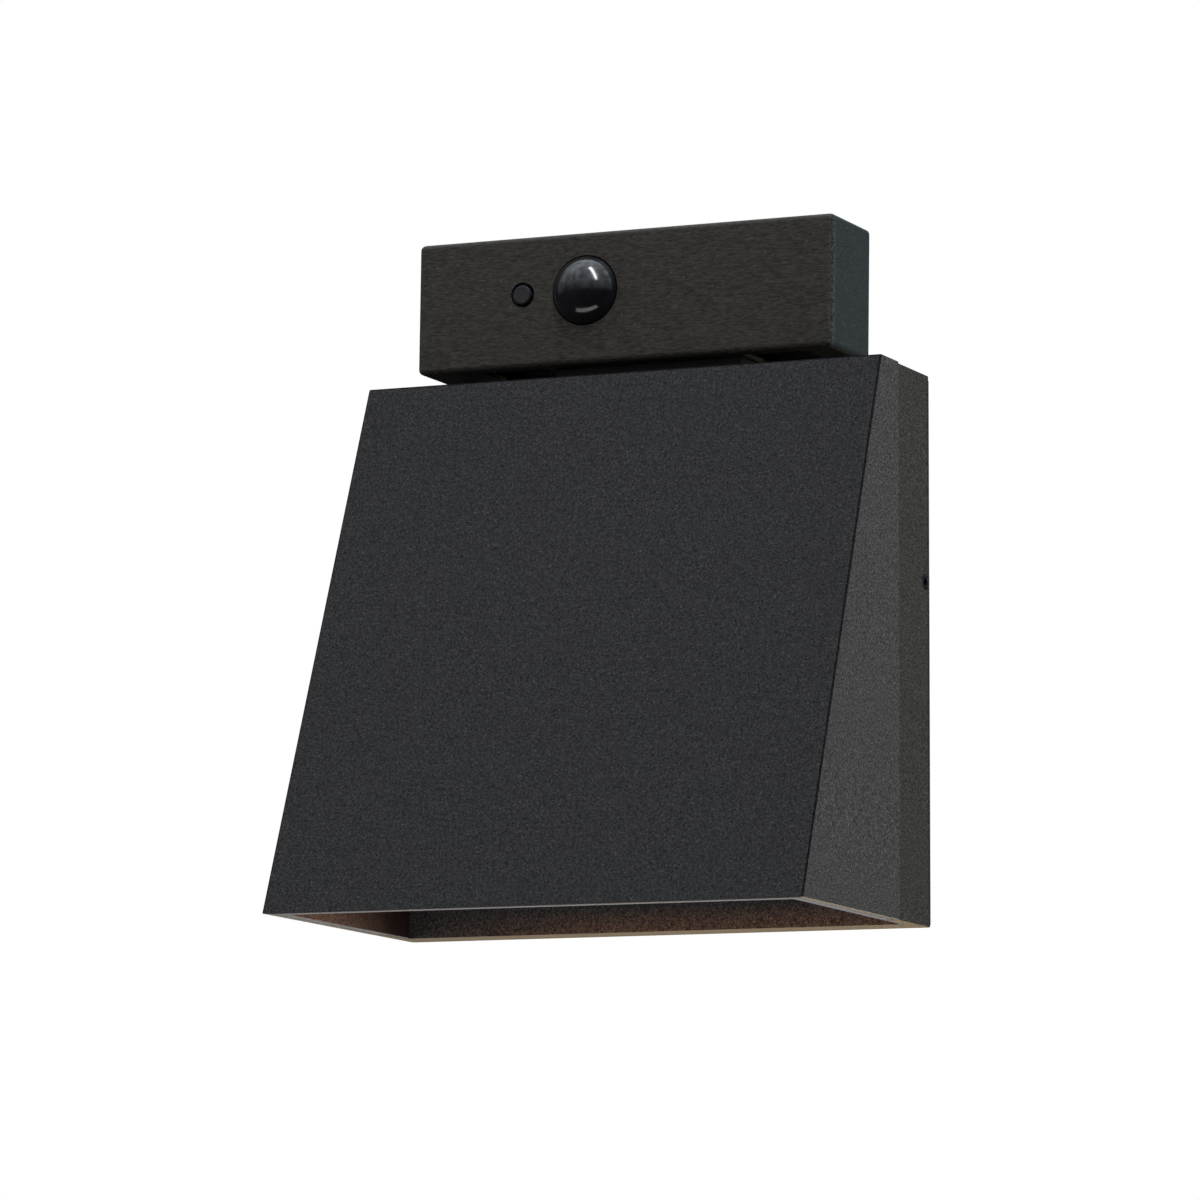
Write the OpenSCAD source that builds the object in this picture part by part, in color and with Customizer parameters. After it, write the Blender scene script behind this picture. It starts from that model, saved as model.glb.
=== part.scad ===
// Outdoor wall light: a wedge-shaped down-lighting shade with a motion sensor box above it.
// X is along the wall, Y points into the wall, Z is up. Lengths are in millimetres.
// Modules measure heights from the rim of the shade. set_on_wall() then lowers every piece,
// so that the origin is the centre of the cable entry, in the plane of the wall.

/* [Shade] */
// Outer width of the shade
shade_w = 200; // [180:1:260]
// Height of the shade
shade_h = 192; // [180:1:240]
// Depth of the shade at its top
shade_top_depth = 46.5; // [40:0.5:60]
// Depth of the shade at its open rim
shade_rim_depth = 114.5; // [95:0.5:140]
// How far each side of the shade leans in from the rim to the top
side_draft = 2; // [0.5:0.1:3]
// Depth of the front cover at its top, in front of the seam
cover_top_depth = 15.5; // [14:0.5:20]
// Wall of the front cover
cover_t = 2.5; // [2:0.1:3]
// Width of the rim, from the outside of the cover to the inside of the liner
rim_w = 6.5; // [6:0.5:9]
// Sheet of the shade's liner
liner_t = 1.5; // [1:0.1:2]

/* [Rear housing] */
// Step from the cover's face in to the housing's face
rear_inset = 0.5; // [0.3:0.1:1.5]
// Distance of the back panel's face from the wall
panel_depth = 15.5; // [11.5:0.5:16]
// Thickness of the back panel
panel_t = 2.5; // [2:0.1:3]
// Thickness of the housing's closed bottom
floor_t = 3; // [2:0.5:4]
// Length of the tongue that enters the cover
tongue_l = 7; // [5:0.5:9]
// Thickness of the tongue
tongue_t = 2; // [1.5:0.1:2.5]
// Radius of the housing's rear edges
rear_edge_r = 2; // [1:0.5:2.5]
// Thickness of the foam gasket on the wall
gasket_t = 1.5; // [1:0.1:2]
// Height of the side screws above the rim
side_screw_z = 119; // [110:1:130]
// Distance of the side screws from the wall
side_screw_y = 6.2; // [5:0.1:6.5]

/* [Wall plate] */
// Sheet of the wall plate
plate_t = 2; // [1.5:0.1:2.5]
// Width of the wall plate's lower part
plate_w = 160; // [150:1:170]
// Distance between the columns of wall screws
slot_spacing_x = 120; // [100:1:130]
// Distance between the rows of wall screws
slot_spacing_z = 60; // [50:1:70]
// Height of the middle of the wall screws above the rim
slot_mid_z = 105; // [95:1:110]
// Length of each slot for a wall screw
slot_l = 12; // [10:0.5:14]
// Width of each slot for a wall screw
slot_w = 5.2; // [4.5:0.1:6]
// Distance of the cable entry below the top of the shade
cable_drop = 18; // [16:0.5:20]
// Radius of the hole for the cable
cable_r = 4.5; // [4:0.1:5]

/* [Light engine] */
// Distance from the top of the shade to the underside of the carrier
engine_drop = 48; // [46:0.5:52]
// Thickness of the carrier
carrier_t = 2.5; // [2:0.1:3]
// Room between each end of the light sources' circuit board and its seal
led_board_room = 2; // [1:0.5:15]
// Width of the circuit board with the light sources
led_board_w = 22; // [16:0.5:23]
// Light sources in each of two rows
led_count = 9; // [4:1:11]
// Thickness of the frosted diffuser
diffuser_t = 2; // [1.5:0.1:3]
// Width of the liner's tabs at the ends of the diffuser's frame
liner_tab_w = 6; // [5.5:0.5:8]
// Width of the diffuser's frame
frame_w = 32; // [31:0.5:33]
// Height of the ring that seals the diffuser
diffuser_seal_h = 5; // [4:0.5:7]
// Length of the driver
driver_l = 92; // [70:1:100]
// Height of the driver
driver_h = 22; // [16:0.5:24]

/* [Sensor box] */
// Width of the sensor box
box_w = 160; // [150:1:175]
// Height of the sensor box
box_h = 46.9; // [46:0.1:55]
// Depth of the sensor box
box_depth = 32.5; // [30:0.5:36]
// Wall of the sensor box
box_t = 1.6; // [1.2:0.1:2]
// Radius of the sensor box's front edges
box_edge_r = 2; // [1:0.1:2.5]
// Gap between the shade and the sensor box
box_gap = 6.8; // [5:0.1:9]
// Distance of the sensor box's middle from the middle of the shade
box_shift = -6.1; // [-8:0.1:0]
// Width of the neck between the shade and the sensor box
neck_w = 72; // [68:1:76]
// Depth of the neck
neck_depth = 24; // [20:0.5:25]

/* [Sensor] */
// Radius of the lens dome at the box's face
dome_r = 12.2; // [11:0.1:12.5]
// How far the lens dome stands out
dome_proud = 8; // [6:0.1:9]
// Distance of the dome's centre from the box's left end
dome_from_left = 65.4; // [62:0.1:70]
// Distance of the dome's and button's centres below the top of the box
dome_down = 20.8; // [20:0.1:22]
// Distance between the dome's centre and the button's centre
button_spacing = 24.3; // [23.5:0.1:27]
// Radius of the push button
button_r = 3.9; // [3:0.05:4]
// How far the push button stands out
button_proud = 0.8; // [0.3:0.1:1.2]
// Travel of the push button
button_travel = 1; // [0.5:0.1:1.2]

/* [Hidden] */

$fn = 48;
cut = 1;             // how far a cutting shape runs past the face that it opens
slip = 0.3;          // clearance between pieces that are slid together
thread_gap = 0.1;    // clearance of a screw in its thread
guide_gap = 0.08;    // radial running clearance of the push button

screw_r = 1.6;       // small machine screws: shank, head and head height
screw_head_r = 2.8;
screw_head_h = 1.9;
clear_r = screw_r + 0.3;
tap_r = screw_r + thread_gap;
tiny_r = 1;          // plastic-case screws
tiny_head_r = 2;
tiny_head_h = 1.3;
tiny_tap_r = tiny_r + thread_gap;
cover_bite = 7;      // how far the cover's screws enter their bosses
post_bite = 4;       // how far the sensor board's screws enter their posts
case_bite = 7;       // how far the case's screws enter their pillars

// The shade: its leaning front and what fits inside it
lean = (shade_rim_depth - shade_top_depth) / shade_h;
lean_step = sqrt(1 + lean * lean);
half_w = shade_w / 2;
draft_angle = atan(side_draft / shade_h);
seam_depth = shade_top_depth - cover_top_depth;
cable_z = shade_h - cable_drop;

// The rear housing
rear_w = shade_w - 2 * rear_inset;
rear_h = shade_h - rear_inset;
tongue_out = cover_t + slip;
bay_half = half_w - tongue_out - tongue_t;
bay_top = shade_h - tongue_out - tongue_t;
tongue_low = liner_t + 4;
panel_back = panel_depth - panel_t;
carrier_z = shade_h - engine_drop;
carrier_flange_h = 14;
panel_top = carrier_z + carrier_flange_h;
lug_front = seam_depth + tongue_l - 3;
lug_t = 2.5;
lug_z = shade_h - 12;
lug_x = half_w - in_by(lug_z) - 14;
lug_r = 4;
lug_reach = 20;
screw_pad_r = 3.6;
lead_slot = [12, 10];

// The wall plate
plate_low = slot_mid_z - slot_spacing_z / 2 - 17;
plate_high = bay_top - 3;
plate_corner_r = 6;
plate_lap = 10;
ear_t = 2;
ear_h = 20;
ear_outer = bay_half - slip - in_by(side_screw_z + ear_h / 2);
ear_depth = panel_back - 0.6;
tongue_plate_w = neck_w - 12;
grommet_neck_r = cable_r + 3.4;
earth_x = -32;

// The sensor's lead, through the neck to the terminal block
neck_lead_x = 26;
lead_y = 12;
lead_r = 2.4;

// The light engine, hung under the carrier; the driver's leads come out right below their terminal
shaft_half = half_w - rim_w;
shaft_top_half = shaft_half - in_by(carrier_z);
shaft_mid_y = (front_y(carrier_z) + rim_w * lean_step - panel_depth) / 2;
carrier_half = bay_half - slip - in_by(carrier_z + carrier_t);
carrier_front = -front_y(carrier_z + carrier_t) - (cover_t + 1) * lean_step;
carrier_screw_up = 7;
board_t = 1.6;
led_size = 3;
led_h = 0.8;
frame_lip_t = 1.5;
frame_lip_w = 3.5;
frame_wall = 4;
frame_l = 2 * (shaft_top_half - liner_tab_w - 1);
frame_screw_x = frame_l / 2 - frame_wall - 1;
frame_head_r = 2.4;
frame_head_h = 1.6;
led_board_l = diffuser_l() - 2 - 2 * led_board_room;
liner_screw_y = 9;
driver_w = 24;
driver_mid_y = shaft_mid_y + 1;
driver_ear = 7;
driver_ear_t = 2;
driver_ear_w = 10;
wire_r = 1.5;
wire_in = 2.5;
wire_side = 9;
wire_out = 4;
wire_bend = 3;
driver_right = neck_lead_x - wire_out;
driver_left = driver_right - driver_l;
fin_t = 1.5;
fin_h = 12;
fin_pitch = 5;
fin_left = driver_right + driver_ear + 6;

// The sensor box and the sensor's case in it
box_low = shade_h + box_gap;
box_high = box_low + box_h;
box_left = box_shift - box_w / 2;
box_right = box_shift + box_w / 2;
tab_low = box_low + box_t + slip;
tab_t = 2;
tab_half = 6;
tab_inset = 9;
tab_screw_y = 8;
head_inset = 3;
vent_l = 26;
case_front = box_depth - box_t - slip;
case_t = 2;
case_left = box_left + 18;
case_right = box_right - 31;
case_low = box_low + 6;
case_high = box_high - box_t - 0.8;
lid_t = 2.5;
lid_ear = 9;
lid_ear_h = 12;
dome_x = box_left + dome_from_left;
dome_z = box_high - dome_down;
button_x = dome_x - button_spacing;
dome_ball_r = (dome_r * dome_r + dome_proud * dome_proud) / (2 * dome_proud);
lens_t = 1.2;
flange_r = dome_r + 2.7;
flange_t = 1.5;
seal_t = 0.8;
collar_t = 1.5;
retainer_t = 2;
flange_front = box_depth - case_front + case_t + seal_t;
retainer_front = flange_front + flange_t;
pcb_y = case_front - 14;
pcb_t = 1.6;
pcb_left = case_left + 9;
pcb_right = case_right - 9;
pcb_low = case_low + case_t + 1;
pcb_high = case_high - case_t - 1;
post_inset = 5;
pillar_r = 2.7;
pillar_inset = case_t + pillar_r - 0.2;
switch_size = 6;
switch_h = 3.5;
switch_floor = 0.8;
plunger_rest = 0.2;
plunger_r = 1.7;
plunger_proud = 2.6;
button_flange_r = button_r + 1.3;
button_flange_t = 1;
relay = [20, 15, 8];
relay_x = dome_x + flange_r + 4 + relay[0] / 2;
terminal_w = 36;
terminal_h = 14;
terminal_d = 16;
terminal_pitch = 12;
terminal_x = neck_lead_x + terminal_pitch;
terminal_top = cable_z + 6;
terminal_low = terminal_top - terminal_h;
clamp_depth = 8;
clamp_y = -plate_t - terminal_d + clamp_depth;
entry_size = 5;
entry_back = 2;

// Y of the shade's leaning front face at a height above the rim
function front_y(z) = -(shade_rim_depth - lean * z);

// How far the shade's sides have leaned in at a height above the rim
function in_by(z) = side_draft * z / shade_h;

// Lowers a piece whose heights are measured from the rim, so that the cable entry is the origin
module set_on_wall() {
    translate([0, 0, -cable_z]) children();
}

// Points a shape that is drawn along +Z at the room
module to_room() {
    rotate([90, 0, 0]) children();
}

// An outline in X and Z whose sides lean in as the shade's do; half is half its width at the rim
module drafted(half, low, high) {
    low_half = half - in_by(low);
    high_half = half - in_by(high);
    polygon([[-low_half, low], [low_half, low], [high_half, high], [-high_half, high]]);
}

// A wedge with the shade's lean: its front is front_gap inside the shade's front face
module wedge(width, front_gap, low, high, back) {
    gap = front_gap * lean_step;
    intersection() {
        rotate([90, 0, 90]) linear_extrude(width + 2 * cut, center = true) polygon([
            [back, low], [front_y(low) + gap, low], [front_y(high) + gap, high], [back, high]
        ]);
        upright(2 * shade_rim_depth, -2 * cut) drafted(width / 2, low, high);
    }
}

// A plate that lies against the wall, drawn in X and Z, from depth back to depth front
module upright(front, back) {
    translate([0, -back, 0]) to_room() linear_extrude(front - back) children();
}

// A box given by its ends on each axis
module span(x, y, z) {
    translate([x[0], y[0], z[0]]) cube([x[1] - x[0], y[1] - y[0], z[1] - z[0]]);
}

// A rectangle with round corners
module round_rect(size, r) {
    square([size[0] - 2 * r, size[1]], center = true);
    square([size[0], size[1] - 2 * r], center = true);
    for (x = [-1, 1], y = [-1, 1])
        translate([x * (size[0] / 2 - r), y * (size[1] / 2 - r)]) circle(r);
}

// An outline from low to high with two round corners at its high side
module round_top(width, low, high, r) {
    translate([-width / 2, low]) square([width, high - r - low]);
    translate([-width / 2 + r, low]) square([width - 2 * r, high - low]);
    for (x = [-1, 1]) translate([x * (width / 2 - r), high - r]) circle(r);
}

// A screw along +Z: its head stands on z = 0 with a hexagon socket, its shank runs down
module screw(r, length, head_r, head_h) {
    difference() {
        union() {
            cylinder(r = head_r, h = head_h);
            translate([0, 0, -length]) cylinder(r = r, h = length);
        }
        translate([0, 0, head_h / 3]) cylinder(r = head_r * 0.5, h = head_h, $fn = 6);
    }
}

// A countersunk screw along +Z whose head is flush with z = 0
module flush_screw(r, length, head_r) {
    difference() {
        union() {
            translate([0, 0, -(head_r - r)]) cylinder(r1 = r, r2 = head_r, h = head_r - r);
            translate([0, 0, -length]) cylinder(r = r, h = length);
        }
        translate([0, 0, -0.9]) cylinder(r = head_r * 0.5, h = 2, $fn = 6);
    }
}

// The hole that takes a flush screw
module flush_hole(r, length, head_r) {
    translate([0, 0, -(head_r - r)]) cylinder(r1 = r, r2 = head_r, h = head_r - r);
    cylinder(r = head_r, h = cut);
    translate([0, 0, -length]) cylinder(r = r, h = length);
}

// Places on the wall plate and in the housing that several pieces share
module at_slots() {
    for (x = [-1, 1], z = [-1, 1])
        translate([x * slot_spacing_x / 2, 0, slot_mid_z + z * slot_spacing_z / 2]) children();
}

module at_side_screws() {
    for (side = [0, 1]) mirror([side, 0, 0])
        translate([rear_w / 2 - in_by(side_screw_z), -side_screw_y, side_screw_z])
            rotate([0, 90, 0]) children();
}

module at_cover_lugs() {
    for (x = [-lug_x, lug_x]) translate([x, -(lug_front - lug_t), lug_z]) rotate([-90, 0, 0]) children();
}

module at_carrier_screws() {
    height = carrier_z + carrier_t + carrier_screw_up;
    for (side = [-1:1])
        translate([side * shaft_top_half * 0.7, -panel_depth - carrier_t, height]) to_room() children();
}

module at_liner_screws() {
    tab_x = shaft_top_half - liner_tab_w / 2;
    for (x = [-tab_x, tab_x], y = [-liner_screw_y, liner_screw_y])
        translate([x, shaft_mid_y + y, carrier_z - liner_t]) rotate([180, 0, 0]) children();
}

module at_frame_screws() {
    for (x = [-1, 1], y = [-1, 1])
        translate([x * frame_screw_x, shaft_mid_y + y * (frame_w / 2 - frame_wall - 1), frame_low()])
            rotate([180, 0, 0]) children();
}

module at_driver_screws() {
    for (x = [driver_left - driver_ear / 2, driver_right + driver_ear / 2])
        translate([x, driver_mid_y, carrier_z + carrier_t + driver_ear_t]) children();
}

module at_box_tabs() {
    for (x = [box_left + tab_inset, box_right - tab_inset]) translate([x, -tab_screw_y, box_low]) children();
}

module at_case_pillars() {
    for (x = [case_left + pillar_inset, case_right - pillar_inset],
         z = [case_low + pillar_inset, case_high - pillar_inset])
        translate([x, -plate_t, z]) rotate([-90, 0, 0]) children();
}

module at_case_ears() {
    for (x = [case_left - lid_ear / 2, case_right + lid_ear / 2])
        translate([x, -plate_t - lid_t, (case_low + case_high) / 2]) to_room() children();
}

module at_board_posts() {
    for (x = [pcb_left + post_inset, pcb_right - post_inset],
         z = [pcb_low + post_inset, pcb_high - post_inset])
        translate([x, -pcb_y + pcb_t, z]) rotate([-90, 0, 0]) children();
}

module at_dome() {
    translate([dome_x, -box_depth, dome_z]) to_room() children();
}

module at_button() {
    translate([button_x, -box_depth, dome_z]) to_room() children();
}

// The two passages for leads through the housing's top, the neck and the bottom of the sensor box
module lead_slots(low, high) {
    for (x = [-neck_lead_x, neck_lead_x])
        translate([x, -lead_y, low]) linear_extrude(high - low) square(lead_slot, center = true);
}

function frame_low() = carrier_z - diffuser_seal_h - diffuser_t - frame_lip_t;

// Wall plate: one steel sheet with turned ears that carries the lamp and the sensor box
module wall_plate() {
    color("silver") difference() {
        union() {
            upright(plate_t, 0) {
                translate([0, (plate_low + plate_high) / 2])
                    round_rect([plate_w, plate_high - plate_low], plate_corner_r);
                translate([-ear_outer, side_screw_z - ear_h / 2]) square([2 * ear_outer, ear_h]);
                translate([-tongue_plate_w / 2, plate_high - plate_lap])
                    square([tongue_plate_w, tab_low - plate_high + 2 * plate_lap]);
                translate([box_left + head_inset, tab_low])
                    square([box_w - 2 * head_inset, case_high - tab_low]);
            }
            for (side = [0, 1]) mirror([side, 0, 0])
                span([ear_outer - ear_t, ear_outer], [-ear_depth, 0],
                     [side_screw_z - ear_h / 2, side_screw_z + ear_h / 2]);
            at_box_tabs() translate([0, 0, tab_low - box_low])
                span([-tab_half, tab_half], [-tab_half, tab_screw_y], [0, tab_t]);
        }
        at_slots() translate([0, cut, 0]) to_room() linear_extrude(plate_t + 2 * cut) {
            square([slot_l - slot_w, slot_w], center = true);
            for (x = [-1, 1]) translate([x * (slot_l - slot_w) / 2, 0]) circle(slot_w / 2);
        }
        translate([0, cut, cable_z]) to_room()
            cylinder(r = grommet_neck_r + thread_gap, h = plate_t + 2 * cut);
        translate([earth_x, cut, cable_z]) to_room() cylinder(r = tap_r, h = plate_t + 2 * cut);
        at_side_screws() translate([0, 0, -ear_h]) cylinder(r = tap_r, h = ear_h);
        at_box_tabs() cylinder(r = tap_r, h = 2 * tab_t + box_t + cut);
        at_case_ears() translate([0, 0, -lid_t - plate_t - cut])
            cylinder(r = tap_r, h = lid_t + plate_t + cut);
    }
}

// Foam gasket between the housing's rear edge and the wall, open where the plate passes up
module wall_gasket() {
    gasket_w = 2.2;
    inset = 1;
    outer_half = rear_w / 2 - inset;
    color("dimgray") upright(gasket_t, 0) difference() {
        drafted(outer_half, inset, rear_h - inset);
        drafted(outer_half - gasket_w, inset + gasket_w, rear_h - inset - gasket_w);
        translate([-(tongue_plate_w / 2 + slip), rear_h / 2]) square([tongue_plate_w + 2 * slip, rear_h]);
    }
}

// Rubber grommet that lines the cable entry
module cable_grommet() {
    flange = 2.2;
    flange_front = plate_t + 1.5;
    lip_t = 1.2;
    lip_front = plate_t + 7;
    color("black") translate([0, 0, cable_z]) to_room() rotate_extrude() polygon([
        [cable_r, 0], [grommet_neck_r, 0], [grommet_neck_r, plate_t], [grommet_neck_r + flange, plate_t],
        [grommet_neck_r + flange, flange_front], [grommet_neck_r - 1, flange_front + 0.5],
        [cable_r + lip_t, lip_front], [cable_r, lip_front]
    ]);
}

// Earth terminal: a screw with its washer on the wall plate
module earth_screw() {
    washer_r = 5;
    washer_t = 1;
    earth_head_r = 3.6;
    earth_head_h = 2.6;
    color("goldenrod") translate([earth_x, -plate_t, cable_z]) to_room() union() {
        cylinder(r = washer_r, h = washer_t);
        translate([0, 0, washer_t]) screw(screw_r, washer_t + plate_t, earth_head_r, earth_head_h);
    }
}

// Three-pole terminal block on the wall plate, screws towards the room
module terminal_block() {
    bore_r = 2.6;
    groove_w = 1.2;
    groove_depth = 4;
    color("ivory") difference() {
        span([terminal_x - terminal_w / 2, terminal_x + terminal_w / 2], [-plate_t - terminal_d, -plate_t],
             [terminal_low, terminal_top]);
        for (pole = [-1:1]) translate([terminal_x + pole * terminal_pitch, 0, 0]) {
            translate([0, clamp_y, (terminal_low + terminal_top) / 2])
                to_room() cylinder(r = bore_r, h = clamp_depth + cut);
            translate([-entry_size / 2, -plate_t - entry_back - entry_size, terminal_low - cut])
                cube([entry_size, entry_size, entry_size + cut]);
        }
        for (gap = [-0.5, 0.5])
            translate([terminal_x + gap * terminal_pitch - groove_w / 2, -plate_t - terminal_d - cut,
                       terminal_low - cut])
                cube([groove_w, groove_depth + cut, terminal_h + 2 * cut]);
    }
}

// The clamp screws in the terminal block
module terminal_screws() {
    clamp_r = 2.3;
    clamp_h = 3;
    slit_w = 0.8;
    color("silver") for (pole = [-1:1])
        translate([terminal_x + pole * terminal_pitch, clamp_y, (terminal_low + terminal_top) / 2])
            to_room() difference() {
                cylinder(r = clamp_r, h = clamp_h);
                translate([-clamp_r - cut, -slit_w / 2, clamp_h * 2 / 3])
                    cube([2 * (clamp_r + cut), slit_w, clamp_h]);
            }
}

// One side of the housing: a tall bar whose right side leans in and whose rear edge is round
module housing_side() {
    spare = 10;
    wide = rear_w + 4 * spare;
    translate([rear_w / 2, 0, 0]) rotate([0, -draft_angle, 0]) translate([-wide / 2, 0, -spare])
        linear_extrude(rear_h + 2 * spare) round_top(wide, -seam_depth, -gasket_t, rear_edge_r);
}

// Rear housing: a cast tray with the back panel, a closed bottom and a tongue for the cover
module rear_housing() {
    color("#403f3c") difference() {
        union() {
            intersection() {
                housing_side();
                mirror([1, 0, 0]) housing_side();
                rotate([90, 0, 90]) linear_extrude(rear_w + 2 * cut, center = true) {
                    translate([-seam_depth, 0]) square([seam_depth - gasket_t, rear_h - rear_edge_r]);
                    translate([-seam_depth, 0]) square([seam_depth - gasket_t - rear_edge_r, rear_h]);
                    translate([-gasket_t - rear_edge_r, rear_h - rear_edge_r]) circle(rear_edge_r);
                }
            }
            upright(seam_depth + tongue_l, seam_depth)
                drafted(bay_half + tongue_t, tongue_low, bay_top + tongue_t);
        }
        difference() {
            upright(seam_depth + tongue_l + cut, -cut) drafted(bay_half, -cut, bay_top);
            span([-half_w, half_w], [-panel_depth, -panel_back], [-2 * cut, panel_top]);
            span([-half_w, half_w], [-panel_depth, cut], [-2 * cut, floor_t]);
            for (side = [0, 1]) mirror([side, 0, 0])
                span([lug_x - lug_r, lug_x + lug_reach], [-lug_front, -lug_front + lug_t],
                     [lug_z - lug_r, shade_h]);
            at_carrier_screws() translate([0, 0, -carrier_t - panel_t - 3]) cylinder(r = screw_pad_r, h = 4);
        }
        lead_slots(bay_top - cut, shade_h);
        span([-(tongue_plate_w / 2 + slip), tongue_plate_w / 2 + slip], [-plate_t - slip, cut],
             [bay_top - cut, shade_h]);
        at_side_screws() flush_hole(clear_r, ear_h / 2, screw_head_r + 0.1);
        at_cover_lugs() translate([0, 0, -lug_t - cut]) cylinder(r = clear_r, h = lug_t + 2 * cut);
        at_carrier_screws() translate([0, 0, -panel_depth]) cylinder(r = tap_r, h = panel_depth);
    }
}

// The two flush screws that hold the housing's sides to the ears of the wall plate
module side_screws() {
    past_ear = 2;
    reach = rear_w / 2 - in_by(side_screw_z) - ear_outer + ear_t + past_ear;
    color("#302f2e") at_side_screws() flush_screw(screw_r, reach, screw_head_r);
}

// Front cover: a wedge shell of sheet, open at its back and its bottom, with two screw bosses
module front_cover() {
    bore = cover_bite + 2;
    color("#3a393b") difference() {
        union() {
            difference() {
                wedge(shade_w, 0, 0, shade_h, -seam_depth);
                wedge(shade_w - 2 * cover_t, cover_t, -cut, shade_h - cover_t, -seam_depth + cut);
            }
            intersection() {
                wedge(shade_w, cover_t / 2, 0, shade_h, -lug_front);
                at_cover_lugs() translate([0, 0, -lug_t - shade_rim_depth])
                    cylinder(r = lug_r, h = shade_rim_depth);
            }
        }
        at_cover_lugs() translate([0, 0, -lug_t - bore]) cylinder(r = tap_r, h = bore + cut);
    }
}

// The two screws from behind, through the housing's lugs, into the cover's bosses
module cover_screws() {
    color("silver") at_cover_lugs() screw(screw_r, lug_t + cover_bite, screw_head_r, screw_head_h);
}

// Liner of the shade: folded sheet with a return at the rim and two tabs under the carrier
module shade_liner() {
    back = -panel_depth - slip;
    color("#54463c") difference() {
        union() {
            wedge(2 * (shaft_half + liner_t), rim_w - liner_t, 0, carrier_z, back);
            wedge(shade_w - 2 * (cover_t + slip), cover_t + slip, 0, liner_t, -seam_depth - slip);
            wedge(2 * (bay_half - slip), cover_t + slip, 0, liner_t, back);
        }
        difference() {
            wedge(2 * shaft_half, rim_w, -cut, carrier_z + cut, back + cut);
            for (side = [0, 1]) mirror([side, 0, 0])
                span([shaft_top_half - liner_tab_w, half_w],
                     [shaft_mid_y - frame_w / 2, shaft_mid_y + frame_w / 2],
                     [carrier_z - liner_t, carrier_z]);
        }
        at_liner_screws() translate([0, 0, -liner_t - cut]) cylinder(r = clear_r, h = liner_t + 2 * cut);
    }
}

// The screws that hold the liner's tabs up to the carrier
module liner_screws() {
    color("silver") at_liner_screws() screw(screw_r, liner_t + carrier_t, frame_head_r, frame_head_h);
}

// Light source carrier: a folded aluminium sheet with cooling fins, screwed to the back panel
module led_carrier() {
    fin_room = 6;
    fin_end = 4;
    fin_count = floor((carrier_front - panel_depth - 2 * fin_room) / fin_pitch);
    through = engine_drop / 2;
    color("lightgray") difference() {
        union() {
            span([-carrier_half, carrier_half], [-carrier_front, -panel_depth],
                 [carrier_z, carrier_z + carrier_t]);
            span([-shaft_top_half, shaft_top_half], [-panel_depth - carrier_t, -panel_depth],
                 [carrier_z, carrier_z + carrier_flange_h]);
            for (i = [0:fin_count - 1])
                translate([fin_left, -panel_depth - carrier_t - fin_room - i * fin_pitch, carrier_z])
                    cube([carrier_half - fin_end - fin_left, fin_t, carrier_t + fin_h]);
        }
        at_carrier_screws() translate([0, 0, -carrier_t - cut])
            cylinder(r = clear_r, h = carrier_t + 2 * cut);
        at_liner_screws() translate([0, 0, -through]) cylinder(r = tap_r, h = through);
        at_frame_screws() translate([0, 0, -through]) cylinder(r = tap_r, h = through);
        at_driver_screws() translate([0, 0, -driver_ear_t - carrier_t - cut])
            cylinder(r = tap_r, h = through);
        translate([driver_right + wire_out, driver_mid_y - wire_side, carrier_z - cut])
            cylinder(r = wire_r + 1, h = carrier_t + 2 * cut);
    }
}

// The three screws that hold the carrier to the back panel
module carrier_screws() {
    color("silver") at_carrier_screws() screw(screw_r, carrier_t + panel_t + 2, screw_head_r, screw_head_h);
}

// Driver: a potted brick with a screw ear at each end
module led_driver() {
    color("whitesmoke") translate([driver_left, driver_mid_y, carrier_z + carrier_t]) difference() {
        union() {
            translate([driver_l / 2, 0, 0]) linear_extrude(driver_h) round_rect([driver_l, driver_w], 2);
            translate([driver_l / 2, 0, 0]) linear_extrude(driver_ear_t)
                round_rect([driver_l + 2 * driver_ear, driver_ear_w], 3);
        }
        for (x = [-driver_ear / 2, driver_l + driver_ear / 2])
            translate([x, 0, -cut]) cylinder(r = clear_r, h = 2 * cut + driver_ear_t);
        for (side = [-wire_side, wire_side]) translate([driver_l - wire_in - 0.5, side, driver_h / 2])
            rotate([0, 90, 0]) cylinder(r = wire_r + 0.2, h = wire_in + 0.5 + cut);
    }
}

// The two screws of the driver
module driver_screws() {
    color("silver") at_driver_screws() screw(screw_r, driver_ear_t + carrier_t, 2.6, screw_head_h);
}

// The direction from one point to the next
function way(from, to) = (to - from) / norm(to - from);

// The bend at a corner of a path: less than half of the shorter run beside it, and none at the ends
function bend_at(path, i) =
    i == 0 || i == len(path) - 1 ? 0 :
    min(wire_bend, 0.45 * norm(path[i] - path[i - 1]), 0.45 * norm(path[i + 1] - path[i]));

// A sleeved lead along a path: straight runs, with a round bend at each of its right-angled corners
module lead(path, r) {
    last = len(path) - 1;
    for (i = [0:last - 1]) {
        on = way(path[i], path[i + 1]);
        start = path[i] + bend_at(path, i) * on;
        end = path[i + 1] - bend_at(path, i + 1) * on;
        translate(start) rotate([0, acos(on[2]), atan2(on[1], on[0])])
            cylinder(r = r, h = norm(end - start));
    }
    for (i = [1:last - 1]) {
        bend = bend_at(path, i);
        back = way(path[i], path[i - 1]);
        on = way(path[i], path[i + 1]);
        up = cross(back, on);
        hub = path[i] + bend * (back + on);
        multmatrix([
            [back[0], on[0], up[0], hub[0]],
            [back[1], on[1], up[1], hub[1]],
            [back[2], on[2], up[2], hub[2]]
        ]) rotate(180) rotate_extrude(angle = 90) translate([bend, 0]) circle(r);
    }
}

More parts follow.
